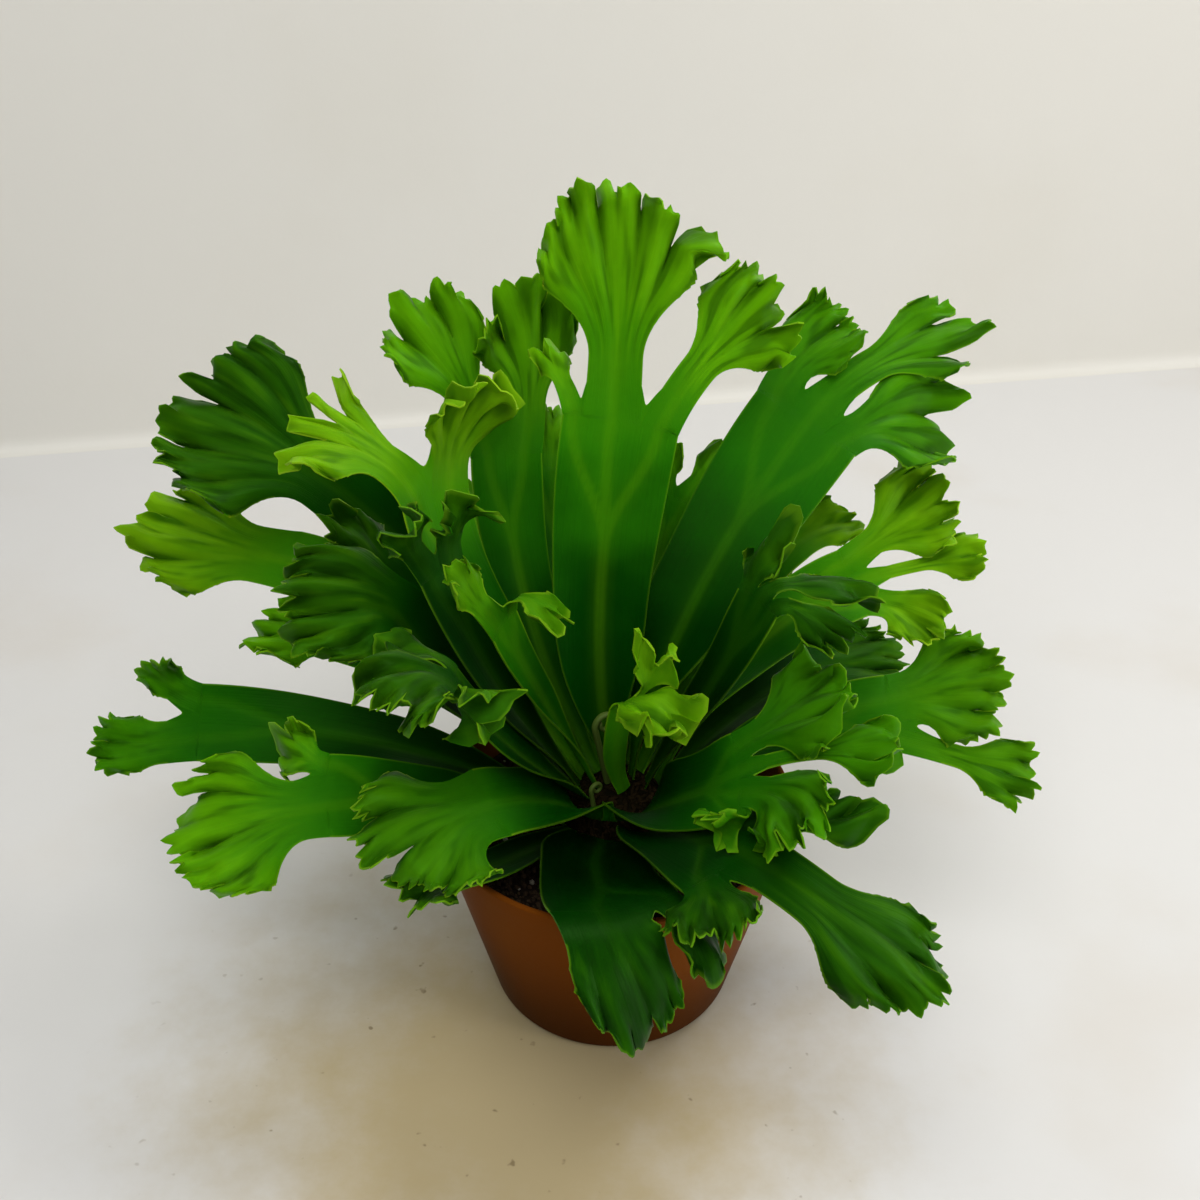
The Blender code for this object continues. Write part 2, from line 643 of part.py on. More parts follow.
def main():
    for old in list(bpy.data.objects):
        bpy.data.objects.remove(old, do_unlink=True)
    materials = {name: make_material(name) for name in FINISHES}
    make_pot(materials["pot"])
    make_soil(materials["soil"])
    make_crown(materials["crown"])
    for name, sizes in CROZIERS.items():
        make_crozier(name, *sizes, materials["crozier"])
    for frond in FRONDS:
        make_frond(frond, materials[frond.tone])


main()
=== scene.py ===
"""Looks of a potted bird's nest fern of the crested kind: leaves, young coils, crown, soil and pot.

Sizes are in millimetres, and MM turns them into metres. The origin is the centre of the pot's base,
with +Z up, the plant's front at -Y and its right at +X.
"""
from dataclasses import dataclass, field

import bpy
import numpy as np
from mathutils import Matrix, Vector


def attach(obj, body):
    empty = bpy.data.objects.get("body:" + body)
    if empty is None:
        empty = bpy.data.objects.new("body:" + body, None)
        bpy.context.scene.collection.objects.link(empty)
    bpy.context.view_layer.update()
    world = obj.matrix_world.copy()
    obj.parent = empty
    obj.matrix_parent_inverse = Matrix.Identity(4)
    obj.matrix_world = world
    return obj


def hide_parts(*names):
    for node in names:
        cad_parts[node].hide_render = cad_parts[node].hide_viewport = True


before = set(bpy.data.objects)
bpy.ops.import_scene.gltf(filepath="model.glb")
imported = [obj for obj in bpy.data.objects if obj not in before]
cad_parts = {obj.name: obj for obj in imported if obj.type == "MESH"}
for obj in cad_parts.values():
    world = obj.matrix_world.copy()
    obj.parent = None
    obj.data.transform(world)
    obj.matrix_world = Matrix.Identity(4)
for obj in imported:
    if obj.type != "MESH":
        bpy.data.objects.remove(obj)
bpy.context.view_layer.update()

MM = 0.001

# Pot
POT_RIM_RADIUS = 54.0
POT_BASE_RADIUS = 37.5
POT_HEIGHT = 70.0
POT_WALL = 1.8
POT_FLOOR = 2.0
POT_EDGE_RADIUS = 4.0
POT_SIDES = 144
DRAIN_HOLES = 6
DRAIN_SIDES = 32
DRAIN_RADIUS = 4.0
DRAIN_CIRCLE = 24.0

# Soil and crown
SOIL_TOP = 60.0
SOIL_LUMP = 1.1
CLEARANCE = 0.3
CROWN_RADIUS = 19.0
CROWN_DOME = 15.0
CROWN_DEPTH = 6.0

# Rings on the crown's dome where the fronds grow, steepest fronds innermost
RINGS = {1: 5.6, 2: 9.5, 3: 13.5, 4: 17.0}

# Straps
BLADE = 0.5
PETIOLE_WIDTH = 4.6
PETIOLE_CHANNEL = 0.5
ROOT_GAP = 0.9
STRAP_CHANNEL = 0.10
STRAP_ROWS = 48
STRAP_STEP = 1.5
MIDRIB_SPLIT = 0.72
MIDRIB_GROOVE = 0.22
MIDRIB_WIDTH = 1.6

# Fans, whose rows and columns get finer towards the margin
PATH_STEPS = 40
FAN_OPENING = 82.0
SOLID_TEETH_FACE = 5.5
LOBE_WIDTH = 10.0
ROW_STEP = 1.4
FACE_STEP = 1.0
WEB_STEPS = 8
WEB_LEAST, WEB_MOST = 3.0, 20.0
MARGIN_ROWS = (2.4, 1.5, 0.7, 0.0)
TOOTH_PITCH = 2.4
TOOTH_STEPS = 4
SIDE_TOOTH_PITCH = 3.2
LOBELET_WIDTH = 7.5
CUT_SHARE = 0.75
NO_PRONGS = 99

# Crests: how far lobes and lobelets bulge, swing and tilt, and the margin's curls and finer ripples as
# (height, how far in from the margin they fade)
BULGE = 0.20
SMALL_BULGE = 0.18
SWING = 0.34
SMALL_SWING = 1.7
TILT = 0.75
CURLS = (1.9, 16.0)
RIPPLES = (1.1, 7.0)
FOLD_REACH = 22.0


@dataclass
class Branch:
    """A branch of a frond: its share of the strap in columns, where its fan's middle ends, the fan's
    width, the cuts between its lobes as (place across, depth) shares, how far the curve to the tip
    first follows the strap, lobes that stand off by (to the right, outwards), by their number, and
    the lobe from which they are slender prongs."""
    columns: int
    tip: tuple
    width: float
    cuts: tuple = None
    bend: float = 0.5
    off: dict = field(default_factory=dict)
    prongs: int = NO_PRONGS


@dataclass
class Frond:
    """A frond: its root as (ring, azimuth), the azimuth that it leans to, points on its midline half
    way up and at the fork, the strap's width at the fork, its branches from left to right as seen
    along the heading, how far the strap rolls to its right, the height of its ruffles, how crumpled
    its crests are, its width at the root, the share of the strap by which it has widened, and how
    much lighter its leaf is than others of its tone, in doublings: partly its own tone, partly
    painted shade where it lies in shade and painted light where light shines through it."""
    name: str
    root: tuple
    heading: float
    middle: tuple
    fork: tuple
    width: float
    branches: list
    roll: float = 0.0
    ruffle: float = 2.5
    crumple: float = 1.0
    root_width: float = PETIOLE_WIDTH
    neck: float = 0.55
    shade: float = 0.0
    seed: int = 1
    tone: str = "leaf_mid"


TALL_FRONDS = [
    Frond("frond_01", (1, 80), 92, (-4, 12, 121), (2, 34, 176), 33,
          [Branch(1, (-19, 48, 192), 9),
           Branch(3, (0, 58, 237), 42, cuts=((0.2, 0.06), (0.42, 0.1), (0.62, 0.12), (0.8, 0.26)),
                  off={0: (-2, -2), 1: (-1, 3.5), 3: (1.5, -3), 4: (11, -9)}),
           Branch(2, (48, 56, 206), 28, cuts=((0.35, 0.1), (0.66, 0.3)), off={2: (4, -2)})],
          ruffle=2.0, crumple=1.5, shade=0.15, seed=3),
    Frond("frond_02", (1, 144), 120, (-25, 31, 113), (-32, 50, 158), 23,
          [Branch(2, (-62, 64, 200), 30),
           Branch(2, (-29, 68, 203), 30, cuts=((0.32, 0.3), (0.7, 0.15)), off={0: (-4, 0)})],
          seed=5),
    Frond("frond_03", (1, 16), 52, (23, 20, 124), (57, 54, 166), 35,
          [Branch(2, (73, 80, 187), 24),
           Branch(2, (110, 84, 182), 28),
           Branch(2, (104, 66, 155), 34)],
          roll=-25, shade=-0.4, seed=71),
    Frond("frond_04", (2, 156), 150, (-36, 11, 119), (-51, 24, 157), 28,
          [Branch(3, (-92, 22, 179), 26, cuts=((0.46, 0.34), (0.65, 0.36), (0.83, 0.34)), prongs=1,
                  off={0: (-3, 1), 1: (0, -2.5), 2: (4.5, -4), 3: (10, -6)}),
           Branch(3, (-34, 32, 190), 26, cuts=((0.25, 0.22), (0.5, 0.1), (0.75, 0.12)))],
          ruffle=2.0, seed=7, tone="leaf_light"),
]

LEFT_FRONDS = [
    Frond("frond_05", (3, 128), 150, (-47, 40, 111), (-81, 50, 145), 22,
          [Branch(4, (-133, 58, 169), 52, cuts=((0.2, 0.1), (0.38, 0.15), (0.6, 0.25), (0.8, 0.1)),
                  off={3: (0, -4), 4: (3, -4)})],
          roll=25, ruffle=4.0, crumple=1.3, seed=11, tone="leaf_dark"),
    Frond("frond_06", (4, 145), 160, (-55, 38, 103), (-99, 50, 121), 20,
          [Branch(4, (-146, 56, 129), 32, cuts=((0.3, 0.1), (0.6, 0.2), (0.8, 0.1)))],
          roll=35, ruffle=3.0, seed=13, tone="leaf_light"),
    Frond("frond_07", (3, 154), 165, (-43, 19, 99), (-65, 24, 131), 14,
          [Branch(3, (-83, 26, 146), 22, cuts=((0.35, 0.2), (0.7, 0.15)))],
          roll=20, ruffle=3.0, crumple=2.0, seed=113, tone="leaf_dark"),
    Frond("frond_08", (3, 181), 172, (-43, 5, 102), (-60, 6, 128), 22,
          [Branch(4, (-92, 0, 133), 33, cuts=((0.2, 0.1), (0.45, 0.2), (0.7, 0.15)), bend=0.35)],
          roll=25, ruffle=3.5, crumple=2.3, seed=17, tone="leaf_dark"),
    Frond("frond_09", (4, 170), 172, (-53, 22, 92), (-83, 28, 107), 15,
          [Branch(3, (-107, 30, 107), 22, cuts=((0.6, 0.3),))],
          roll=30, crumple=1.5, seed=19),
    Frond("frond_10", (4, 190), 180, (-64, 2, 86), (-122, 6, 92), 23,
          [Branch(3, (-152, 0, 88), 16),
           Branch(2, (-137, 14, 108), 10)],
          roll=45, shade=-0.7, seed=23),
    Frond("frond_11", (4, 211), 198, (-47, -18, 82), (-79, -26, 91), 24,
          [Branch(3, (-119, -36, 80), 40, cuts=((0.2, 0.1), (0.45, 0.28), (0.75, 0.15))),
           Branch(1, (-94, -10, 96), 14)],
          roll=35, seed=29),
    Frond("frond_12", (2, 190), 158, (-31, -4, 110), (-47, 1, 147), 16,
          [Branch(1, (-59, -4, 169), 14),
           Branch(1, (-43, 8, 168), 14)],
          roll=20, crumple=2.2, shade=-0.4, seed=97, tone="leaf_dark"),
    Frond("frond_13", (2, 223), 200, (-26, -16, 97), (-42, -21, 123), 21,
          [Branch(1, (-31, -42, 125), 16),
           Branch(2, (-62, -42, 129), 26),
           Branch(1, (-65, -14, 128), 15)],
          roll=10, ruffle=3.5, crumple=2.5, seed=89, tone="leaf_dark"),
    Frond("frond_14", (1, 212), 165, (-21, -4, 110), (-30, -8, 136), 12,
          [Branch(2, (-45, -12, 158), 14),
           Branch(1, (-14, -18, 147), 10)],
          roll=20, crumple=1.5, shade=-0.6, seed=83, tone="leaf_light"),
]

FRONT_FRONDS = [
    Frond("frond_15", (3, 243), 215, (-20, -21, 85), (-34, -31, 92), 23,
          [Branch(4, (-60, -55, 88), 42, cuts=((0.25, 0.12), (0.5, 0.32), (0.75, 0.12)))],
          roll=20, root_width=20, neck=0.2, shade=-1.0, seed=31, tone="leaf_light"),
    Frond("frond_16", (4, 226), 228, (-26, -29, 72), (-43, -44, 78), 14,
          [Branch(2, (-55, -58, 80), 18, cuts=((0.5, 0.2),))],
          ruffle=1.5, seed=37, tone="leaf_dark"),
    Frond("frond_17", (4, 262), 268, (-5, -37, 73), (0, -58, 80), 36,
          [Branch(1, (23, -69, 68), 14),
           Branch(3, (8, -77, 54), 26, cuts=((0.45, 0.1), (0.8, 0.1)), off={0: (0, 0), 2: (0, -2)})],
          ruffle=1.5, crumple=0.6, root_width=14, neck=0.4, shade=-1.0, seed=41, tone="leaf_dark"),
    Frond("frond_18", (4, 298), 305, (18, -30, 81), (31, -47, 88), 34,
          [Branch(1, (66, -34, 91), 15),
           Branch(3, (76, -86, 77), 30),
           Branch(2, (25, -78, 83), 24, bend=0.3)],
          roll=-15, root_width=14, neck=0.4, shade=-0.3, seed=47, tone="leaf_dark"),
    Frond("frond_19", (3, 288), 335, (18, -21, 85), (34, -26, 97), 28,
          [Branch(2, (67, -14, 117), 34),
           Branch(1, (78, -28, 107), 19),
           Branch(2, (51, -56, 98), 25),
           Branch(1, (24, -50, 95), 10)],
          roll=-30, ruffle=3.5, crumple=1.6, root_width=20, neck=0.2, shade=-0.6, seed=43),
    Frond("frond_20", (1, 305), 300, (1, -9, 94), (3, -14, 113), 9,
          [Branch(1, (15, -20, 128), 12),
           Branch(2, (17, -32, 115), 18)],
          crumple=2.2, shade=-0.2, seed=79, tone="leaf_light"),
]

RIGHT_FRONDS = [
    Frond("frond_21", (4, -5), 5, (48, 6, 85), (83, 16, 88), 23,
          [Branch(2, (119, 26, 93), 34),
           Branch(1, (128, 8, 68), 20)],
          roll=-50, shade=-0.7, seed=53, tone="leaf_light"),
    Frond("frond_22", (4, 25), 35, (41, 28, 80), (67, 52, 79), 17,
          [Branch(3, (97, 66, 72), 30, cuts=((0.3, 0.1), (0.6, 0.3)))],
          roll=-35, seed=59, tone="leaf_dark"),
    Frond("frond_23", (3, 15), 25, (39, 16, 109), (72, 34, 123), 22,
          [Branch(2, (104, 54, 145), 28),
           Branch(1, (114, 44, 127), 16),
           Branch(2, (97, 18, 114), 18)],
          roll=-40, seed=61, tone="leaf_light"),
    Frond("frond_24", (2, 38), 50, (33, 31, 110), (55, 50, 127), 14,
          [Branch(2, (78, 64, 129), 16)],
          roll=-20, seed=67, tone="leaf_light"),
    Frond("frond_25", (2, 0), 12, (25, -3, 106), (40, 0, 138), 15,
          [Branch(1, (47, 12, 145), 12),
           Branch(1, (65, 6, 133), 14),
           Branch(1, (59, -6, 127), 11)],
          roll=-30, ruffle=3.5, crumple=2.3, shade=-0.4, seed=101, tone="leaf_dark"),
]

BACK_FRONDS = [
    Frond("frond_26", (2, 76), 78, (12, 46, 110), (19, 64, 135), 16,
          [Branch(1, (18, 76, 150), 12), Branch(1, (39, 76, 143), 14)], seed=73),
    Frond("frond_27", (2, 112), 105, (-14, 46, 112), (-22, 74, 140), 14,
          [Branch(1, (-42, 90, 148), 14), Branch(1, (-16, 92, 152), 14)], seed=127),
    Frond("frond_28", (4, 62), 68, (30, 52, 82), (42, 88, 90), 18,
          [Branch(2, (32, 120, 84), 22), Branch(2, (62, 112, 86), 22)], seed=103),
    Frond("frond_29", (4, 95), 102, (-12, 52, 84), (-18, 86, 92), 18,
          [Branch(2, (-42, 116, 84), 24), Branch(2, (-8, 122, 88), 24)], seed=107),
    Frond("frond_30", (4, 122), 135, (-42, 44, 86), (-66, 70, 94), 18,
          [Branch(2, (-100, 88, 84), 24), Branch(2, (-74, 106, 90), 22)], seed=109),
    Frond("frond_31", (3, 104), 128, (-24, 47, 94), (-46, 76, 112), 15,
          [Branch(1, (-80, 88, 124), 16), Branch(1, (-58, 102, 124), 16)], seed=131),
    Frond("frond_32", (3, 78), 85, (6, 50, 96), (8, 82, 110), 15,
          [Branch(1, (-8, 108, 114), 14), Branch(1, (14, 106, 110), 14)], seed=137),
]

FRONDS = TALL_FRONDS + LEFT_FRONDS + FRONT_FRONDS + RIGHT_FRONDS + BACK_FRONDS

# The wall behind the plant: where its foot passes on the left and on the right, as (x, y), and its
# profile with the cove at its foot, as (out, up)
WALL = ((-1500.0, 162.0), (1500.0, 697.0))
WALL_PROFILE = ((8, 0.1), (4.5, 0.5), (2.2, 1.6), (0.9, 3.5), (0.2, 6), (0, 9), (0, 2400))

# The middle of the stain of earth on the floor, in metres
STAIN_PLACE = (-0.03, -0.055, 0.0)

# Young fronds that are still coiled: root (radius, azimuth), azimuth and slant of the stalk, its
# length, the coil's radius and the stalk's radius
CROZIERS = {
    "crozier_1": ((2.1, 225), 215, 12, 22.0, 3.6, 1.1),
    "crozier_2": ((11.0, 240), 215, 8, 6.5, 2.0, 0.8),
    "crozier_3": ((2.2, 34), 20, 10, 12.0, 2.8, 0.9),
}
COIL_TURNS = 1.15
CROZIER_SIDES = 20


def smooth(t):
    """Rises from 0 to 1 with level ends."""
    t = np.clip(t, 0.0, 1.0)
    return t * t * (3 - 2 * t)


def unit(vectors):
    return vectors / np.linalg.norm(vectors, axis=-1, keepdims=True)


def dome_height(radius):
    """Height of the crown's dome at a distance from the axis."""
    return SOIL_TOP + CROWN_DOME * np.sqrt(max(0.0, 1 - (radius / CROWN_RADIUS) ** 2))


def polar(radius, azimuth):
    angle = np.radians(azimuth)
    return np.array([radius * np.cos(angle), radius * np.sin(angle), 0.0])


def over_dome(radius, azimuth, gap):
    """A point at a gap from the dome's surface, measured square to it."""
    slope = CROWN_DOME / CROWN_RADIUS * radius / np.sqrt(CROWN_RADIUS ** 2 - radius ** 2)
    normal = unit(polar(slope, azimuth) + np.array([0, 0, 1.0]))
    return polar(radius, azimuth) + np.array([0, 0, dome_height(radius)]) + normal * gap


def strap_path(frond, s):
    """Midline points and the along, right and up vectors at shares s of the strap."""
    s = np.asarray(s, float)[:, None]
    ring, azimuth = frond.root
    first = np.radians(azimuth)
    facing = first + (np.radians(frond.heading) - first) * smooth(s / 0.5)
    right = np.concatenate([np.sin(facing), -np.cos(facing), 0 * facing], axis=1)
    root = over_dome(RINGS[ring], azimuth, ROOT_GAP)
    middle, fork = np.array(frond.middle, float), np.array(frond.fork, float)
    points = root * (2 * s - 1) * (s - 1) + middle * 4 * s * (1 - s) + fork * s * (2 * s - 1)
    along = unit(root * (4 * s - 3) + middle * (4 - 8 * s) + fork * (4 * s - 1))
    across = unit(right - along * (along * right).sum(1)[:, None])
    up = np.cross(across, along)
    roll = np.radians(frond.roll) * smooth(s)
    return points, along, across * np.cos(roll) + up * np.sin(roll), up * np.cos(roll) - across * np.sin(roll)


def strap_half_width(frond, s):
    widening = 0.75 * smooth(s / frond.neck) + 0.25 * smooth((s - 0.45) / 0.55)
    return (frond.root_width + (frond.width - frond.root_width) * widening) / 2


def midrib_groove(distance):
    return MIDRIB_GROOVE * np.exp(-(distance / MIDRIB_WIDTH) ** 2)


class Sheet:
    """Points, triangles and surface values of a blade with no thickness. A point's values are its
    places across its lobe and lobelet, from 0 in the middle to 1 at their cuts, its place across the
    fine veins, its distance from a midrib, its youth and its distance from the margin. The youth also
    sets painted shade towards the frond's base and painted light at its tips, and the places across
    lobes and lobelets set painted light on their crests and painted shade in their valleys."""

    def __init__(self):
        self.points, self.values, self.faces = [], [], []

    def add_row(self, points, values):
        first = len(self.points)
        self.points.extend(points)
        self.values.extend(np.stack(np.broadcast_arrays(*values), axis=-1))
        return list(range(first, len(self.points)))

    def stitch(self, low, high):
        """Triangles between a row and the next row, which has as many steps or a whole multiple."""
        if len(low) == 1:
            self.faces += [(low[0], b, a) for a, b in zip(high, high[1:])]
            return
        ratio = (len(high) - 1) // (len(low) - 1)
        half = (ratio + 1) // 2
        for i, (a, b) in enumerate(zip(low, low[1:])):
            row = high[i * ratio:(i + 1) * ratio + 1]
            if ratio == 1:
                self.faces += [(a, b, row[1]), (a, row[1], row[0])]
                continue
            for j in range(ratio):
                self.faces.append((a if j < half else b, row[j + 1], row[j]))
            self.faces.append((a, b, row[half]))


def strap_rows(frond, sheet, steps, branch_middles):
    """Rows of the strap, from the crown to the fork, with a groove along its midrib."""
    x = np.linspace(-1, 1, steps + 1)
    low = None
    waves = np.random.default_rng([frond.seed, 99]).uniform(0, 2 * np.pi, 2)
    side = np.where(x < 0, *waves)
    for share in np.linspace(0, 1, STRAP_ROWS + 1):
        s = np.full(len(x), share)
        points, _, across, up = strap_path(frond, s)
        half = strap_half_width(frond, s)
        channel = PETIOLE_CHANNEL * smooth(s / 0.15) * (1 - smooth(s / 0.8)) + STRAP_CHANNEL
        split = smooth((share - MIDRIB_SPLIT) / (1 - MIDRIB_SPLIT))
        midrib = np.min([np.abs(x - middle * split) for middle in branch_middles], axis=0) * half
        lift = channel * half * np.abs(x) ** 1.5 - midrib_groove(midrib)
        lift += 0.035 * half * np.abs(x) ** 3 * np.sin(9 * share + side) * smooth(share / 0.3)
        row = points + across * (half * x)[:, None] + up * lift[:, None]
        row = sheet.add_row(row, (0.5, 0.5, x * half, midrib, 0.45 * s ** 2, (1 - np.abs(x)) * half))
        if low:
            sheet.stitch(low, row)
        low = row
    return low


class BranchSurface:
    """The surface of one branch: a stalk that leaves the strap and flares into a crested fan."""

    def __init__(self, frond, number, start, columns, random):
        self.frond, self.branch = frond, frond.branches[number]
        self.left, self.right = start / columns, (start + self.branch.columns) / columns
        self.middle = self.left + self.right - 1
        self.half_start = (self.right - self.left) * frond.width / 2
        self.make_path()
        ratio = self.branch.width / 2 / self.length
        self.opening = np.radians(FAN_OPENING) * min(1.0, ratio / 0.26)
        self.flare_start = 1 - min(0.85, 2.1 * ratio + 0.05)
        self.fan_half = self.branch.width / 2 * self.opening / np.sin(self.opening)
        self.make_lobes(random)
        self.make_crest(np.random.default_rng([frond.seed, number]))

    def make_path(self):
        """Midline from the strap's end to the tip, with the frame carried along it."""
        point, along, across, up = (v[0] for v in strap_path(self.frond, [1.0]))
        half, middle = self.frond.width / 2, self.middle
        base = point + across * half * middle + up * STRAP_CHANNEL * half * abs(middle) ** 1.5
        tip = np.array(self.branch.tip, float)
        knee = base + unit(along + across * middle * 0.45) * np.linalg.norm(tip - base) * self.branch.bend
        t = np.linspace(0, 1, PATH_STEPS + 1)[:, None]
        path = base * (1 - t) ** 2 + knee * 2 * t * (1 - t) + tip * t ** 2
        self.length = np.linalg.norm(np.diff(path, axis=0), axis=1).sum()
        along = unit((knee - base) * (1 - t) + (tip - knee) * t)
        sides = [across]
        for direction in along:
            sides.append(unit(sides[-1] - direction * (sides[-1] @ direction)))
        across = np.array(sides[1:])
        self.path = np.stack([path, along, across, np.cross(across, along)])

    def make_lobes(self, random):
        """Cuts between the lobes and the phase of the ruffles, drawn as in the solid, whose own
        teeth are drawn last."""
        cuts = self.branch.cuts
        if cuts is None:
            count = max(1, round(self.branch.width / LOBE_WIDTH))
            places = (np.arange(1, count) + random.uniform(-0.18, 0.18, count - 1)) / count
            cuts = list(zip(places, random.uniform(0.06, 0.24, count - 1)))
        self.lobe_edges = np.array([0.0, *(place for place, depth in cuts), 1.0])
        self.lobe_depths = np.array([0.10, *(depth for place, depth in cuts), 0.10])
        self.waves = max(1.0, self.branch.width / 20.0)
        self.phase = random.uniform(0, 1)
        self.wave_side = random.choice([-1, 1])
        steps = 2 * self.branch.columns
        if self.branch.width / steps > SOLID_TEETH_FACE:
            steps *= 2
        random.uniform(0.5, 1.0, 2 * steps + 1)

    def make_crest(self, random):
        """Lobelets along the margin with their cuts and tilts, the teeth, and the curl of the margin."""
        margin = 2 * self.fan_half
        crumple = self.frond.crumple

        def swings(low, high, count):
            return random.choice([-1, 1]) * random.uniform(low, high, count)

        edges = [0.0]
        for start, end in zip(self.lobe_edges, self.lobe_edges[1:]):
            count = max(1, round((end - start) * margin / LOBELET_WIDTH))
            places = np.arange(1, count + 1) + np.append(random.uniform(-0.2, 0.2, count - 1), 0)
            edges += list(start + (end - start) * places / count)
        self.lobelet_edges = np.array(edges)
        lobes, lobelets = len(self.lobe_edges) - 1, len(edges) - 1
        self.lobelet_depths = random.uniform(0.8, 4.0, lobelets + 1) * min(1.0, crumple)
        gaps = np.abs(self.lobelet_edges[:, None] - self.lobe_edges).min(1)
        self.lobelet_depths[gaps < 0.001] *= 0.2
        self.lobe_widths = np.diff(self.lobe_edges) * margin
        self.lobe_fullness = np.clip(self.lobe_widths / 2.2, 1.6, 5.0)
        self.lobe_turns = swings(0.4, 1.2, lobes)
        self.lobelet_turns = swings(0.3, 1.2, lobelets)
        self.lobelet_reach = random.uniform(-0.5, 2.2, lobelets)
        self.tooth_count = max(4, round(margin / TOOTH_PITCH))
        uneven = random.uniform(0, 1, 4 * self.tooth_count) ** 1.6
        self.tooth_heights = (0.9 + 2.8 * uneven) * min(1.0, crumple ** 2)
        self.lobelet_widths = np.diff(self.lobelet_edges) * margin * random.uniform(0.5, 1.4, lobelets)
        self.curl_waves = margin / 11.0
        self.curl_phase = random.uniform(0, 2 * np.pi, 4)
        self.side_teeth = random.uniform(0, 1, (2, 200)) ** 2
        self.lobe_tilts = swings(-0.2, 1.0, lobes) * (-1.0) ** np.arange(lobes)
        self.lobe_reach = random.uniform(-1.5, 3.5, lobes)
        self.lobe_shifts = np.zeros(lobes)
        for lobe, (shift, reach) in self.branch.off.items():
            self.lobe_shifts[lobe], self.lobe_reach[lobe] = shift, reach
        self.lobe_swell = np.where(np.arange(lobes) < self.branch.prongs, 0.17, -0.05)
        if self.branch.prongs < lobes:
            self.lobe_depths[-1] = 0.3
            self.lobe_tilts *= 0.3

    def cell(self, edges, u):
        """Which stretch between edges u lies in, and where in it, from -1 to 1."""
        number = np.clip(np.searchsorted(edges, u, side="right") - 1, 0, len(edges) - 2)
        start, end = edges[number], edges[number + 1]
        return number, (u - start) / (end - start) * 2 - 1

    def along_path(self, t):
        """Point and the along, right and up vectors at shares t of the midline."""
        place = np.clip(t, 0, 1) * PATH_STEPS
        step = np.minimum(place.astype(int), PATH_STEPS - 1)
        rest = (place - step)[:, None]
        return self.path[:, step] * (1 - rest) + self.path[:, step + 1] * rest

    def flare(self, t):
        return smooth((t - self.flare_start) / (1 - self.flare_start))

    def half_width(self, t):
        waist = 1 - 0.5 * t * (1 - np.minimum(t, 1)) ** 2
        return self.half_start * waist + (self.fan_half - self.half_start) * self.flare(t)

    def cut_back(self, t, u):
        """Share t along, less what the cuts of lobes, lobelets and teeth take from it at u across. Also
        where each point lies across its lobe and lobelet, from -1 to 1, how wide that lobe and lobelet
        are, and how far the point is out past the bottoms of the cuts beside them, from 0 to 1."""
        inside = (1 - t) * self.length
        lobe, v = self.cell(self.lobe_edges, u)
        left, right = self.lobe_depths[lobe], self.lobe_depths[lobe + 1]
        prong = lobe >= self.branch.prongs
        cut = np.where(prong, smooth((np.abs(v) - 0.5) / 0.35), np.abs(v) ** self.lobe_fullness[lobe])
        share = t * (1 - CUT_SHARE * np.where(v < 0, left, right) * cut * t)
        level = 1 - CUT_SHARE * (left * (1 - v) + right * (1 + v)) / 2
        out_lobe = smooth((share - level) / (1.02 - level))
        share += self.lobe_reach[lobe] / self.length * out_lobe * (1 - v ** 2)
        lobelet, w = self.cell(self.lobelet_edges, u)
        depth = np.where(w < 0, self.lobelet_depths[lobelet], self.lobelet_depths[lobelet + 1])
        near = (1 - smooth(inside / 10)) * (1 - 0.8 * prong)
        reach = self.lobelet_reach[lobelet] * (1 - np.abs(w) ** 1.3)
        share += (reach - depth * np.abs(w) ** 3.5) / self.length * near
        out_lobelet = smooth(1 - (1 - share) * self.length / 4.5)
        place = u * self.tooth_count
        tooth = np.minimum(place.astype(int), self.tooth_count - 1)
        notch = np.abs(2 * (place - tooth) - 1) ** 1.15 * (1 - 0.8 * prong)
        share -= self.tooth_heights[tooth] * notch / self.length * (1 - smooth(inside / 3.2))
        return share, (lobe, v, out_lobe, (1 - level) * self.length), (lobelet, w, out_lobelet)

    def points(self, distance, u):
        """Points and surface values at a distance along the branch and at u across it, 0 at the
        left to 1."""
        outer = np.full(len(u), distance / self.length)
        inside = (1 - outer) * self.length
        t, (lobe, lobe_v, out_lobe, lobe_length), (lobelet, lobelet_v, out_lobelet) = self.cut_back(outer, u)
        v = 2 * u - 1
        flare = self.flare(t)
        bow = self.opening * flare ** 0.9 + 1e-4
        beyond = np.maximum(t - 1, 0) * self.length
        half = self.half_width(t)
        x = half * np.sin(bow * v) / bow + beyond * np.sin(bow * v)
        y = -half * (1 - np.cos(bow * v)) / bow + beyond * np.cos(bow * v)
        x += self.side_edge(distance, v) * flare
        swell = self.lobe_swell[lobe] * self.lobe_widths[lobe]
        aside = (swell * lobe_v * out_lobe + 0.6 * lobelet_v * out_lobelet) * flare
        x += aside * np.cos(bow * v) + self.lobe_shifts[lobe] * out_lobe
        y -= aside * np.sin(bow * v)
        wave = np.sin(np.pi * (self.waves * u * self.wave_side + 2 * self.phase))
        ripple = np.sin(np.pi * (3 * self.waves * u + self.phase))
        z = np.maximum(flare, 0.3 * t) * self.frond.ruffle * (wave + 0.25 * ripple)
        crumple = self.frond.crumple
        bulge = BULGE * self.lobe_widths[lobe] * (1 - np.abs(lobe_v) ** 1.4)
        small = SMALL_BULGE * self.lobelet_widths[lobelet] * (1 - np.abs(lobelet_v) ** 1.4)
        z += (bulge + small * (1 - smooth(inside / FOLD_REACH))) * flare * crumple ** 0.5
        turn = 2 * np.pi * self.curl_waves * u
        curl = np.sin(turn + self.curl_phase[0] + 0.8 * np.sin(0.37 * turn + self.curl_phase[2]))
        ripples = np.sin(2.3 * turn + self.curl_phase[1] + 1.2 * np.sin(0.61 * turn + self.curl_phase[3]))
        for shape, (height, reach) in ((curl, CURLS), (ripples, RIPPLES)):
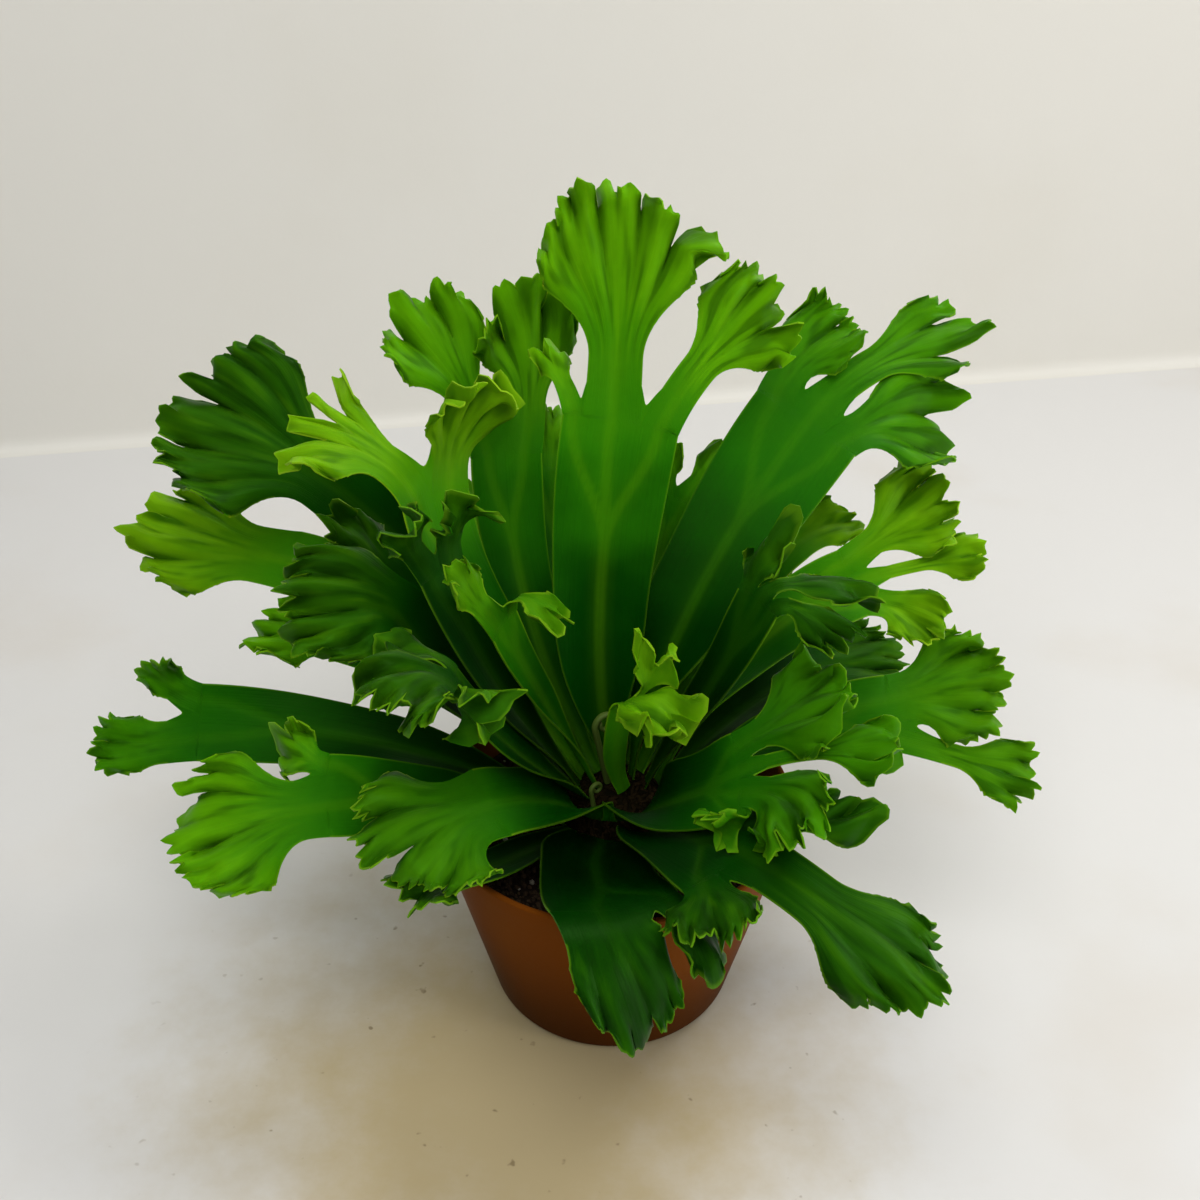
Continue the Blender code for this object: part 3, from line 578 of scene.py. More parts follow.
            z += height * crumple * shape * (1 - smooth(inside / reach)) ** 2 * flare
        swing = SWING * self.lobe_widths[lobe] * self.lobe_turns[lobe] * lobe_v * out_lobe
        small = SMALL_SWING * self.lobelet_turns[lobelet] * lobelet_v * out_lobelet
        z += (swing + small) * crumple ** 0.7 * flare
        z += TILT * self.lobe_tilts[lobe] * lobe_length * out_lobe * crumple ** 0.5 * flare
        strap_x = self.middle + v * (self.right - self.left)
        channel = np.abs(strap_x) ** 1.5 - abs(self.middle) ** 1.5
        z += STRAP_CHANNEL * self.frond.width / 2 * channel * (1 - smooth(t / 0.5))
        midrib = np.abs(v) * half
        z -= midrib_groove(midrib) * (1 - flare)
        path, along, across, up = self.along_path(t)
        values = (
            0.5 + (np.abs(lobe_v) - 0.5) * flare,
            0.5 + (np.abs(lobelet_v) - 0.5) * (1 - smooth(inside / FOLD_REACH)) * flare,
            (u - 0.5) * 2 * self.fan_half + 40 * self.middle,
            midrib + 1.6 * flare,
            0.45 + 0.55 * outer ** 1.2,
            np.minimum(inside, (1 - np.abs(v)) * half + max(0.0, self.web_reach - distance)))
        return path + across * x[:, None] + along * y[:, None] + up * z[:, None], values

    def side_edge(self, distance, v):
        """How far the two side edges of the fan stand out in small teeth at a distance along it."""
        place = distance / SIDE_TOOTH_PITCH
        tooth = 1 - np.abs(2 * np.mod(place, 1) - 1)
        left, right = self.side_teeth[:, min(int(place), self.side_teeth.shape[1] - 1)]
        edge = np.maximum(0, (np.abs(v) - 0.9) / 0.1)
        return np.where(v < 0, -left, right) * 1.8 * tooth * edge

    def rows(self, sheet, low, web_reach):
        """Rows from the strap's end to the margin, widening in doubled steps. Returns every row."""
        self.web_reach = web_reach
        steps = len(low) - 1
        doublings = max(0, round(np.log2(2 * self.fan_half * TOOTH_STEPS / TOOTH_PITCH / steps)))
        self.tooth_count = max(2, steps * 2 ** doublings // TOOTH_STEPS)
        body = self.length - MARGIN_ROWS[0] - web_reach
        count = max(2, round(body / ROW_STEP))
        places = np.concatenate([
            web_reach * np.arange(1, WEB_STEPS + 1) / WEB_STEPS,
            web_reach + body * np.arange(1, count) / count,
            self.length - np.array(MARGIN_ROWS)])
        rows = [low]
        for number, place in enumerate(places):
            left = len(places) - number - len(MARGIN_ROWS)
            too_wide = 2 * self.half_width(np.array(place / self.length)) / steps > FACE_STEP
            if doublings and (too_wide or left <= doublings):
                steps *= 2
                doublings -= 1
            rows.append(sheet.add_row(*self.points(place, np.linspace(0, 1, steps + 1))))
            sheet.stitch(*rows[-2:])
        return rows


def add_web(sheet, left_rows, right_rows, web_reach):
    """The rounded skin at the bottom of the notch between two branches."""
    left = np.array([sheet.points[row[-1]] for row in left_rows[:WEB_STEPS + 1]])
    right = np.array([sheet.points[row[0]] for row in right_rows[:WEB_STEPS + 1]])
    w = np.linspace(0, 1, WEB_STEPS + 1)
    depth = 0.5 + 0.5 * np.abs(2 * w - 1) ** 2
    low = [left_rows[0][-1]]
    for i in range(1, WEB_STEPS + 1):
        place = i * depth
        step = np.minimum(place.astype(int), WEB_STEPS - 1)
        rest = (place - step)[:, None]
        a, b = (side[step] * (1 - rest) + side[step + 1] * rest for side in (left, right))
        points = a * (1 - w)[:, None] + b * w[:, None]
        rim = (WEB_STEPS - i) / WEB_STEPS * web_reach * depth
        middle = sheet.add_row(points[1:-1], (0.5, 0.5, 4 * w[1:-1], 5, 0.47, rim[1:-1]))
        row = [left_rows[i][-1], *middle, right_rows[i][0]]
        sheet.stitch(low, row)
        low = row


def frond_sheet(frond):
    """The whole blade of a frond: strap, branches and the webs between them."""
    random = np.random.default_rng(frond.seed)
    starts = np.cumsum([0] + [branch.columns for branch in frond.branches])
    columns = starts[-1]
    fine = 2 * max(1, round(frond.width / columns / STRAP_STEP / 2))
    surfaces = [BranchSurface(frond, number, start, columns, random)
                for number, start in enumerate(starts[:-1])]
    sheet = Sheet()
    low = strap_rows(frond, sheet, columns * fine, [surface.middle for surface in surfaces])
    web_reach = float(np.clip(0.5 * min(surface.length for surface in surfaces), WEB_LEAST, WEB_MOST))
    previous = None
    for surface, start, end in zip(surfaces, starts * fine, starts[1:] * fine):
        rows = surface.rows(sheet, low[start:end + 1], web_reach)
        if previous:
            add_web(sheet, previous, rows, web_reach)
        previous = rows
    return sheet


def link(name, data):
    made = bpy.data.objects.new(name, data)
    bpy.context.scene.collection.objects.link(made)
    return made


def piece_of(name, points, faces, *materials):
    """A piece with a mesh of its own, from points in millimetres."""
    mesh = bpy.data.meshes.new(name)
    mesh.from_pydata((np.asarray(points, float) * MM).tolist(), [], faces)
    for material in materials:
        mesh.materials.append(material)
    return link(name, mesh)


def settle(piece, sharp_angle, slot, *nodes):
    """Makes the piece's evaluated shape its plain mesh, shaded smooth up to an angle. The piece rides
    with the plant and stands for its solids. slot is not used."""
    bpy.context.view_layer.update()
    evaluated = piece.evaluated_get(bpy.context.evaluated_depsgraph_get())
    mesh = bpy.data.meshes.new_from_object(evaluated)
    piece.modifiers.clear()
    old = piece.data
    piece.data = mesh
    bpy.data.meshes.remove(old)
    mesh.name = piece.name
    mesh.shade_smooth()
    mesh.set_sharp_from_angle(angle=np.radians(sharp_angle))
    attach(piece, "root")
    if nodes:
        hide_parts(*nodes)
    return piece


def make_leaf(frond, finishes):
    """One frond's blade, with its thickness and the values that its finish reads."""
    sheet = frond_sheet(frond)
    leaf = piece_of(f"leaf_{frond.name[-2:]}", sheet.points, sheet.faces, *finishes)
    values = np.array(sheet.values, np.float32)
    for name, columns in (("veins", values[:, :3]), ("zones", values[:, 3:])):
        leaf.data.attributes.new(name, "FLOAT_VECTOR", "POINT").data.foreach_set("vector", columns.ravel())
    # Each frond's own tone together with its painted light and painted shade, in doublings
    shade = leaf.data.attributes.new("shade", "FLOAT", "POINT")
    shade.data.foreach_set("value", np.full(len(values), frond.shade, np.float32))
    thickness = leaf.modifiers.new("blade thickness", "SOLIDIFY")
    thickness.thickness = BLADE * MM
    thickness.offset = 0
    thickness.use_quality_normals = True
    thickness.material_offset = 1
    thickness.material_offset_rim = 2
    settle(leaf, 50, frond.tone, frond.name)


class Wire:
    """What flows out of a node. Sums and products of wires become nodes of their own."""

    def __init__(self, tree, socket):
        self.tree, self.socket = tree, socket

    def __add__(self, other):
        return self.tree.math("ADD", self, other)

    def __sub__(self, other):
        return self.tree.math("SUBTRACT", self, other)

    def __mul__(self, other):
        return self.tree.math("MULTIPLY", self, other)

    def held(self):
        """The same value, held between 0 and 1."""
        self.socket.node.use_clamp = True
        return self


class Tree:
    """Short ways to build a node tree. Inputs are given by name or number, as wires or plain values."""

    def __init__(self, tree):
        self.tree = tree

    def put(self, socket, value):
        if isinstance(value, Wire):
            self.tree.links.new(value.socket, socket)
        else:
            socket.default_value = value

    def wires(self, kind, inputs=None, **settings):
        """A new node's outputs."""
        node = self.tree.nodes.new(kind)
        for name, value in settings.items():
            setattr(node, name, value)
        for socket, value in (inputs or {}).items():
            self.put(node.inputs[socket], value)
        return [Wire(self, socket) for socket in node.outputs]

    def named(self, kind, inputs=None, **settings):
        """A new node's outputs by name."""
        return {wire.socket.name: wire for wire in self.wires(kind, inputs, **settings)}

    def wire(self, kind, inputs=None, **settings):
        """A new node's first output."""
        return self.wires(kind, inputs, **settings)[0]

    def math(self, operation, *values):
        return self.wire("ShaderNodeMath", dict(enumerate(values)), operation=operation)

    def mix(self, factor, first, second, blend="MIX"):
        inputs = {0: factor, 6: first, 7: second}
        return self.wires("ShaderNodeMix", inputs, data_type="RGBA", blend_type=blend)[2]

    def ramp(self, value, low, high, to_low=0.0, to_high=1.0):
        """Rises smoothly from one value to another as the input goes from low to high."""
        return self.wire("ShaderNodeMapRange", {
            "Value": value, "From Min": low, "From Max": high, "To Min": to_low, "To Max": to_high},
            interpolation_type="SMOOTHSTEP")

    def place(self):
        """The piece's own coordinates."""
        return self.named("ShaderNodeTexCoord")["Object"]

    def noise(self, scale, detail=3.0, roughness=0.5, place=None, stretch=None):
        """Noise from 0 to 1, in the piece's own coordinates if no others are given, in waves a metre."""
        place = place or self.place()
        if stretch:
            place = self.wire("ShaderNodeMapping", {"Vector": place, "Scale": stretch})
        return self.wire("ShaderNodeTexNoise", {
            "Vector": place, "Scale": scale, "Detail": detail, "Roughness": roughness})

    def parts(self, vector):
        return self.wires("ShaderNodeSeparateXYZ", {"Vector": vector})

    def vector(self, **parts):
        return self.wire("ShaderNodeCombineXYZ", parts)

    def attribute(self, name):
        """An attribute's outputs by name: Color, Vector, Fac."""
        return self.named("ShaderNodeAttribute", attribute_name=name)


def shader_group(name, colours, values, results):
    """A shader node group with its sockets, as its tree and the wires into it by name."""
    group = bpy.data.node_groups.new(name, "ShaderNodeTree")
    for side, kind, sockets in (("INPUT", "Color", colours), ("INPUT", "Float", values),
                                ("OUTPUT", "Color", ["Colour"]), ("OUTPUT", "Float", results)):
        for socket in sockets:
            group.interface.new_socket(socket, in_out=side, socket_type=f"NodeSocket{kind}")
    tree = Tree(group)
    return tree, tree.named("NodeGroupInput")


def make_leaf_group():
    """Colour, roughness and relief of a leaf from its ribs, midribs, age and margin, with painted light on
    crests and painted shade in valleys, towards its base and by frond.
    """
    tree, given = shader_group("leaf veins and age", ["Deep", "Blade", "Tip", "Rib", "Edge"], ["Contrast"],
                               ["Roughness", "Height"])
    lobe, lobelet, fine = tree.parts(tree.attribute("veins")["Vector"])
    midrib, youth_and_painted_shade, rim = tree.parts(tree.attribute("zones")["Vector"])
    broad = tree.noise(38.0, 2.0)
    small = tree.noise(420.0)
    streak = tree.wire("ShaderNodeTexNoise", {"W": fine, "Scale": 1.25, "Detail": 2.0}, noise_dimensions="1D")
    feather = tree.noise(1.0, 1.0, place=tree.vector(X=fine * 0.19, Y=youth_and_painted_shade * 4.0))
    outer = tree.ramp(youth_and_painted_shade, 0.50, 0.74)

    # Dark at the base and light at the tips: partly age, partly painted shade deep in the plant and painted
    # light shining through the tips
    aged_and_painted_shade = youth_and_painted_shade + (broad - 0.5) * 0.35
    colour = tree.mix(tree.ramp(aged_and_painted_shade, 0.07, 0.50), given["Deep"], given["Blade"])
    colour = tree.mix(tree.ramp(aged_and_painted_shade, 0.35, 0.98), colour, given["Tip"])

    # Painted light on the crests of lobes and lobelets and in streaks over the outer fan, added to the
    # lighter lines along the midribs
    painted_crest_light = (tree.ramp(lobe, 0.20, 0.02) + tree.ramp(lobelet, 0.34, 0.02) * 0.7).held()
    line = tree.ramp(midrib, 0.6, 2.4, 1.0, 0.0)
    band = tree.ramp(midrib, 0.5, 5.5, 1.0, 0.0)
    light = tree.ramp(feather, 0.50, 0.68) * outer
    ribs_and_painted_light = painted_crest_light * 0.60 + line * 0.12 + band * 0.05 + light * 0.50
    colour = tree.mix((ribs_and_painted_light * given["Contrast"]).held(), colour, given["Rib"])

    # Painted shade in the valleys between lobes and lobelets and in streaks over the outer fan
    painted_valley_shade = (tree.ramp(lobe, 0.52, 0.95) + tree.ramp(lobelet, 0.55, 0.98) * 0.8).held()
    hollow = tree.ramp(feather, 0.50, 0.34) * outer
    painted_valley_shade = (painted_valley_shade * tree.ramp(feather, 0.35, 0.65, 0.45, 1.0) + hollow * 0.7).held()
    colour = tree.mix(painted_valley_shade * 0.72 * given["Contrast"], colour, given["Deep"])

    # The frond's own tone and its painted light and painted shade brighten or darken the whole leaf; darker
    # fronds also lose red
    shade = tree.attribute("shade")["Fac"]
    tone = tree.ramp(streak, 0.3, 0.7, 0.975, 1.025) + (small - 0.5) * 0.14
    tone = tone * tree.math("POWER", 2.0, shade)
    red = tone * tree.math("POWER", 1.7, shade)
    tones = tree.wire("ShaderNodeCombineColor", {"Red": red, "Green": tone, "Blue": tone})
    colour = tree.mix(1.0, colour, tones, "MULTIPLY")
    edge = tree.ramp(rim, 0.10, 0.60, 0.4, 0.0) * tree.ramp(youth_and_painted_shade, 0.2, 0.5, 0.35, 1.0)
    tree.wires("NodeGroupOutput", {
        "Colour": tree.mix(edge, colour, given["Edge"]),
        "Roughness": tree.ramp(broad, 0.3, 0.7, 0.30, 0.42) + small * 0.14,
        "Height": streak * 0.55 + small * 0.35})
    return tree.tree


def make_crumb_group():
    """Colour and relief of crumbly or scaly brown matter, each piece in its own tone."""
    tree, given = shader_group("crumbs", ["Dark", "Light"], ["Scale"], ["Height"])
    grain = tree.noise(given["Scale"], 5.0)
    share = grain * 0.6 + tree.noise(70.0) * 0.5 + tree.attribute("tint")["Fac"] * 0.55
    tree.wires("NodeGroupOutput", {
        "Colour": tree.mix(tree.ramp(share, 0.35, 1.15), given["Dark"], given["Light"]), "Height": grain})
    return tree.tree


def make_marks_group():
    """Broad faint marks of a painted floor or wall, and the stain of earth around the pot."""
    tree, given = shader_group("faint marks", ["Colour", "Marks", "Stain"], ["Scale"], ["Height"])
    broad = tree.noise(given["Scale"], 5.0)
    away = tree.wires("ShaderNodeVectorMath", {0: tree.place(), 1: STAIN_PLACE}, operation="DISTANCE")[1]
    near = tree.ramp(away + tree.noise(28.0, 5.0, 0.65) * 0.10, 0.07, 0.19, 0.95, 0.0)
    specks = tree.ramp(tree.noise(190.0, 2.0), 0.70, 0.76) * tree.ramp(away, 0.06, 0.14, 0.7, 0.0)
    colour = tree.mix(tree.ramp(broad, 0.5, 0.75), given["Colour"], given["Marks"])
    colour = tree.mix(near, colour, given["Stain"])
    tree.wires("NodeGroupOutput", {
        "Colour": tree.mix(specks, colour, (0.16, 0.11, 0.045, 1.0)), "Height": tree.noise(260.0)})
    return tree.tree


def make_grain_and_shade_group():
    """Fine grain and soft marks of a moulded surface, with painted shade darker towards its foot."""
    tree, given = shader_group("moulded grain", ["Colour", "Marks", "Foot"], ["Grain"],
                               ["Roughness", "Height"])
    fine = tree.noise(given["Grain"], 2.0)
    marks = tree.noise(22.0, 4.0, 0.6, stretch=(1, 1, 0.35))
    colour = tree.mix(tree.ramp(marks, 0.42, 0.72) * 0.5, given["Colour"], given["Marks"])
    # Painted shade: the colour darkens towards the pot's foot
    height = tree.parts(tree.place())[2] + marks * 0.02
    tree.wires("NodeGroupOutput", {
        "Colour": tree.mix(tree.ramp(height, 0.010, 0.065), given["Foot"], colour),
        "Roughness": tree.ramp(marks, 0.3, 0.7, 0.34, 0.46) + fine * 0.08,
        "Height": fine})
    return tree.tree


def finish(name, group, values, relief, roughness=None, **shader_values):
    """A material from a group's colour, roughness and relief, with the rest on the shader itself. The
    group's colours are given as (red, green, blue)."""
    material = bpy.data.materials.new(name)
    material.use_nodes = True
    tree = Tree(material.node_tree)
    shader = material.node_tree.nodes["Principled BSDF"].inputs
    given = tree.named("ShaderNodeGroup", {
        socket: (*value, 1.0) if isinstance(value, tuple) else value
        for socket, value in values.items()}, node_tree=group)
    bump = {"Height": given["Height"], "Distance": relief, "Strength": 1.0}
    tree.put(shader["Base Color"], given["Colour"])
    tree.put(shader["Roughness"], given["Roughness"] if roughness is None else roughness)
    tree.put(shader["Normal"], tree.wire("ShaderNodeBump", bump))
    for socket, value in shader_values.items():
        tree.put(shader[socket.replace("_", " ")], value)
    return material


# Deep is also the painted shade towards a frond's base and in the valleys; the rib colour is also the painted
# light on the crests
LEAF_COLOURS = {
    "leaf_light": {"Deep": (0.004, 0.070, 0.0005), "Blade": (0.035, 0.20, 0.001),
                   "Tip": (0.14, 0.33, 0.002), "Rib": (0.18, 0.40, 0.004), "Edge": (0.22, 0.40, 0.01)},
    "leaf_mid": {"Deep": (0.0002, 0.028, 0.0002), "Blade": (0.016, 0.150, 0.001),
                 "Tip": (0.085, 0.28, 0.001), "Rib": (0.11, 0.34, 0.002), "Edge": (0.15, 0.34, 0.006)},
    "leaf_dark": {"Deep": (0.0002, 0.012, 0.0002), "Blade": (0.002, 0.045, 0.0004),
                  "Tip": (0.022, 0.100, 0.001), "Rib": (0.05, 0.17, 0.001), "Edge": (0.12, 0.28, 0.006)},
}
LEAF_SHEEN = {"Subsurface_Weight": 0.4, "Subsurface_Radius": (0.6, 1.0, 0.2), "Subsurface_Scale": 0.0012,
              "Specular_Tint": (0.25, 1.0, 0.10, 1.0), "IOR": 1.22}


def make_leaf_finishes(group, tone):
    """Upper side, underside and rim of the leaves of a tone."""
    colours = LEAF_COLOURS[tone]
    under = dict(colours, Deep=colours["Blade"], Contrast=0.7)
    rim = dict(colours, Blade=colours["Rib"], Tip=colours["Edge"], Contrast=0.2)
    return [finish(f"{tone}_upper", group, dict(colours, Contrast=1.0), 0.00014, **LEAF_SHEEN),
            finish(f"{tone}_underside", group, under, 0.00012, 0.55, **LEAF_SHEEN),
            finish(f"{tone}_rim", group, rim, 0.00005, 0.5, **LEAF_SHEEN)]


def turned(profile, sides, height=lambda radius, z, angle: 0.0):
    """Points and faces of a profile of (radius, z) pairs turned about Z, closed on the axis at both
    ends, whose first and last radii are 0. height adds to z by radius, z and angle."""
    points, rings = [], []
    for radius, z in profile:
        count = sides if radius else 1
        rings.append([len(points) + (i if radius else 0) for i in range(sides)])
        for angle in 2 * np.pi * np.arange(count) / sides:
            points.append((radius * np.cos(angle), radius * np.sin(angle), z + height(radius, z, angle)))
    return points, joined(rings)


def joined(rings):
    """Faces between rings of point numbers, where a pole's ring repeats one number."""
    faces = []
    for low, high in zip(rings, rings[1:]):
        for i in range(len(low)):
            j = (i + 1) % len(low)
            corners = [low[i], low[j], high[j], high[i]]
            faces.append([c for k, c in enumerate(corners) if c != corners[k - 1]])
    return faces


def pot_radius(z):
    """Radius of the pot's outer wall at a height."""
    return POT_BASE_RADIUS + (POT_RIM_RADIUS - POT_BASE_RADIUS) * z / POT_HEIGHT


def arc(centre, radius, start, end, steps):
    """Points on an arc, from one angle to another in degrees."""
    return [tuple(centre + polar(radius, angle)[:2]) for angle in np.linspace(start, end, steps)]


def run(start, end, steps):
    """Points strictly between two, in even steps."""
    shares = np.arange(1, steps) / steps
    return [(start[0] + (end[0] - start[0]) * s, start[1] + (end[1] - start[1]) * s) for s in shares]


def make_pot(material):
    """The tapered pot with its soft lower edge, rounded rim and drain holes."""
    slope = np.degrees(np.arctan2(POT_HEIGHT, POT_RIM_RADIUS - POT_BASE_RADIUS))
    inset = POT_EDGE_RADIUS * np.tan(np.radians(slope) / 2)
    rim_radius = POT_WALL / 2
    lower_edge = arc((POT_BASE_RADIUS - inset, POT_EDGE_RADIUS), POT_EDGE_RADIUS, -90, slope - 90, 12)
    rim = arc((POT_RIM_RADIUS - rim_radius, POT_HEIGHT - rim_radius), rim_radius, slope - 90, slope + 90, 10)
    inner_base = pot_radius(POT_FLOOR) - POT_WALL - POT_EDGE_RADIUS / 2
    inner_edge = (pot_radius(POT_FLOOR + POT_EDGE_RADIUS / 2) - POT_WALL, POT_FLOOR + POT_EDGE_RADIUS / 2)
    profile = [(0, 0), *lower_edge, *run(lower_edge[-1], rim[0], 12), *rim, *run(rim[-1], inner_edge, 6),
               inner_edge, (inner_base, POT_FLOOR), (0, POT_FLOOR)]
    pot = piece_of("nursery_pot", *turned(profile, POT_SIDES), material)
    low, high = -POT_FLOOR, 2 * POT_FLOOR
    hole, faces = turned([(0, low), (DRAIN_RADIUS, low), (DRAIN_RADIUS, high), (0, high)], DRAIN_SIDES)
    cutters = []
    for i in range(DRAIN_HOLES):
        place = polar(DRAIN_CIRCLE, 360 * i / DRAIN_HOLES)
        cutters.append(piece_of(f"drain_{i}", np.array(hole) + place, faces))
        drain = pot.modifiers.new("drain hole", "BOOLEAN")
        drain.operation = "DIFFERENCE"
        drain.object = cutters[-1]
    settle(pot, 40, "pot", "pot")
    for cutter in cutters:
        bpy.data.objects.remove(cutter, do_unlink=True)


def soil_lumps(radius, z, angle):
    """The low mounds of the soil, with finer crumbs on them."""
    if z < SOIL_TOP:
        return 0.0
    lumps = np.sin(5 * angle + radius / 4) + 0.6 * np.sin(9 * angle - radius / 3)
    crumbs = np.sin(31 * angle + radius * 1.7) * np.sin(radius * 2.3 + 11 * angle)
    return SOIL_LUMP * lumps + 0.3 * crumbs


def make_soil(material):
    """Potting soil, clear of the pot, with a pocket for the crown."""
    bottom = POT_FLOOR + CLEARANCE
    pocket = CROWN_RADIUS + CLEARANCE
    floor = SOIL_TOP - CROWN_DEPTH - CLEARANCE
    wall_gap = POT_WALL + 3 * CLEARANCE
    side_start = bottom + POT_EDGE_RADIUS / 2
    profile = [(0, bottom), (pot_radius(bottom) - wall_gap - POT_EDGE_RADIUS / 2, bottom),
               (pot_radius(side_start) - wall_gap, side_start),
               (pot_radius(SOIL_TOP) - wall_gap, SOIL_TOP - 1),
               *[(radius, SOIL_TOP) for radius in np.arange(48.5, 20.5, -1.4)],
               (pocket, SOIL_TOP - 1), (pocket, floor), (0, floor)]
    return settle(piece_of("potting_soil", *turned(profile, 144, soil_lumps), material), 60, "soil", "soil")


def make_crown(material):
    """The rootstock, from its foot in the soil to its domed top."""
    dome = [(CROWN_RADIUS * np.cos(a), SOIL_TOP + CROWN_DOME * np.sin(a))
            for a in np.linspace(0, np.pi / 2, 25)[:-1]]
    foot = SOIL_TOP - CROWN_DEPTH
    profile = [(0, foot), (CROWN_RADIUS - 2, foot), (CROWN_RADIUS - 0.4, foot + 1.5), *dome,
               (0, SOIL_TOP + CROWN_DOME)]
    return settle(piece_of("rootstock", *turned(profile, 96), material), 50, "crown", "crown")


class Scatter:
    """A node tree that sets many small shapes on the upper faces of a surface."""

    SIZES = {"Density": 1.0, "Smallest": 1.0, "Largest": 2.0, "Length": 1.0, "Height": 1.0, "Lift": 0.0,
             "Lean": 0.5, "Inner": 0.0, "Outer": 1.0, "Lowest": 0.0}

    def __init__(self, name, material, seed):
        self.group = bpy.data.node_groups.new(name, "GeometryNodeTree")
        new_socket = self.group.interface.new_socket
        new_socket("Geometry", in_out="INPUT", socket_type="NodeSocketGeometry")
        for socket, value in self.SIZES.items():
            new_socket(socket, in_out="INPUT", socket_type="NodeSocketFloat").default_value = value
        new_socket("Geometry", in_out="OUTPUT", socket_type="NodeSocketGeometry")
        self.build(material, seed)

    def build(self, material, seed):
        tree = Tree(self.group)
        given = tree.named("NodeGroupInput")

        def random(number, low, high):
            inputs = {2: low, 3: high, "Seed": seed + number}
            return tree.wires("FunctionNodeRandomValue", inputs, data_type="FLOAT")[1]

        x, y, z = tree.parts(tree.wire("GeometryNodeInputPosition"))
        across = tree.math("SQRT", x * x + y * y)
        inside = tree.math("LESS_THAN", across, given["Outer"])
        wanted = tree.math("GREATER_THAN", across, given["Inner"]) * inside
        wanted = wanted * tree.math("GREATER_THAN", z, given["Lowest"])
        spread = tree.named("GeometryNodeDistributePointsOnFaces", {
            "Mesh": given["Geometry"], "Selection": wanted, "Density": given["Density"], "Seed": seed})
        shape = tree.wire("GeometryNodeTransform", {
            "Geometry": tree.wire("GeometryNodeMeshIcoSphere", {"Radius": 1.0, "Subdivisions": 1}),
            "Scale": tree.vector(X=1.0, Y=given["Length"], Z=given["Height"])})
        turn = tree.wire("FunctionNodeRandomValue", {
            0: (-np.pi,) * 3, 1: (np.pi,) * 3, "Seed": seed + 1}, data_type="FLOAT_VECTOR")
        scaled = tree.wire("ShaderNodeVectorMath", {0: turn, "Scale": given["Lean"]}, operation="SCALE")
        lean_x, lean_y, _ = tree.parts(scaled)
        spin = tree.wire("FunctionNodeEulerToRotation", {
            "Euler": tree.vector(X=lean_x, Y=lean_y, Z=tree.parts(turn)[2])})
        facing = tree.wire("FunctionNodeRotateRotation", {
            "Rotation": spread["Rotation"], "Rotate By": spin}, rotation_space="LOCAL")
        made = tree.wire("GeometryNodeInstanceOnPoints", {
            "Points": spread["Points"], "Instance": shape, "Rotation": facing,
            "Scale": random(2, given["Smallest"], given["Largest"])})
        moved = tree.wire("GeometryNodeTranslateInstances", {
            "Instances": made, "Translation": tree.vector(Z=given["Lift"]), "Local Space": True})
        tinted = tree.wire("GeometryNodeStoreNamedAttribute", {
            "Geometry": moved, "Name": "tint", "Value": random(3, 0.0, 1.0)},
            data_type="FLOAT", domain="INSTANCE")
        real = tree.wire("GeometryNodeRealizeInstances", {"Geometry": tinted})
        painted = tree.wire("GeometryNodeSetMaterial", {"Geometry": real, "Material": material})
        tree.wires("NodeGroupOutput", {0: painted})

    def over(self, name, surface, slot, **sizes):
        """The small shapes as a piece of their own, set on a copy of a surface."""
        piece = link(name, surface.data.copy())
        spread = piece.modifiers.new("scatter", "NODES")
        spread.node_group = self.group
        for item in self.group.interface.items_tree:
            if item.in_out == "INPUT" and item.name in sizes:
                spread[item.identifier] = float(sizes[item.name])
        settle(piece, 180, slot)


def crozier_path(slant, length, coil, stalk_points=14, coil_points=64):
    """Centre points (out, up) of a stalk and its coil."""
    slant = np.radians(slant)
    upward = np.array([np.sin(slant), np.cos(slant)])
    inward = np.array([-np.cos(slant), np.sin(slant)])
    stalk = [upward * length * k / stalk_points for k in range(stalk_points)]
    centre = upward * length + inward * coil
    coiled = []
    for share in np.linspace(0, 1, coil_points):
        angle = 2 * np.pi * COIL_TURNS * share
        radius = coil * (1 - 0.62 * share)
        coiled.append(centre - inward * radius * np.cos(angle) + upward * radius * np.sin(angle))
    return np.array(stalk + coiled)


def make_crozier(material, name, root, azimuth, slant, length, coil, stalk_radius):
    """A young frond still coiled at its tip, grooved on its inner side, with a rounded end."""
    path = crozier_path(slant, length, coil)
    side = polar(1.0, azimuth + 90)
    base = over_dome(*root, CLEARANCE + stalk_radius / 2)
    centres = base + path[:, :1] * polar(1.0, azimuth) + path[:, 1:] * np.array([0, 0, 1.0])
    normals = np.cross(unit(np.gradient(centres, axis=0)), side)
    angles = 2 * np.pi * np.arange(CROZIER_SIDES) / CROZIER_SIDES
    hollow = np.roll(np.exp(-(np.cos(angles / 2) / 0.3) ** 2), CROZIER_SIDES // 4)
    points = []
    for share, centre, normal in zip(np.linspace(0, 1, len(centres)), centres, normals):
        radius = stalk_radius * (1 - 0.45 * share) * np.sqrt(max(0.02, 1 - smooth((share - 0.94) / 0.06)))
        ring = np.cos(angles)[:, None] * side + np.sin(angles)[:, None] * normal
        points.extend(centre + ring * (radius * (1 - 0.22 * smooth(share / 0.1) * hollow))[:, None])
    rings = np.arange(len(points)).reshape(-1, CROZIER_SIDES).tolist()
    faces = [rings[0][::-1], *joined(rings), rings[-1]]
    settle(piece_of(f"young_{name}", points, faces, material), 60, "crozier", name)


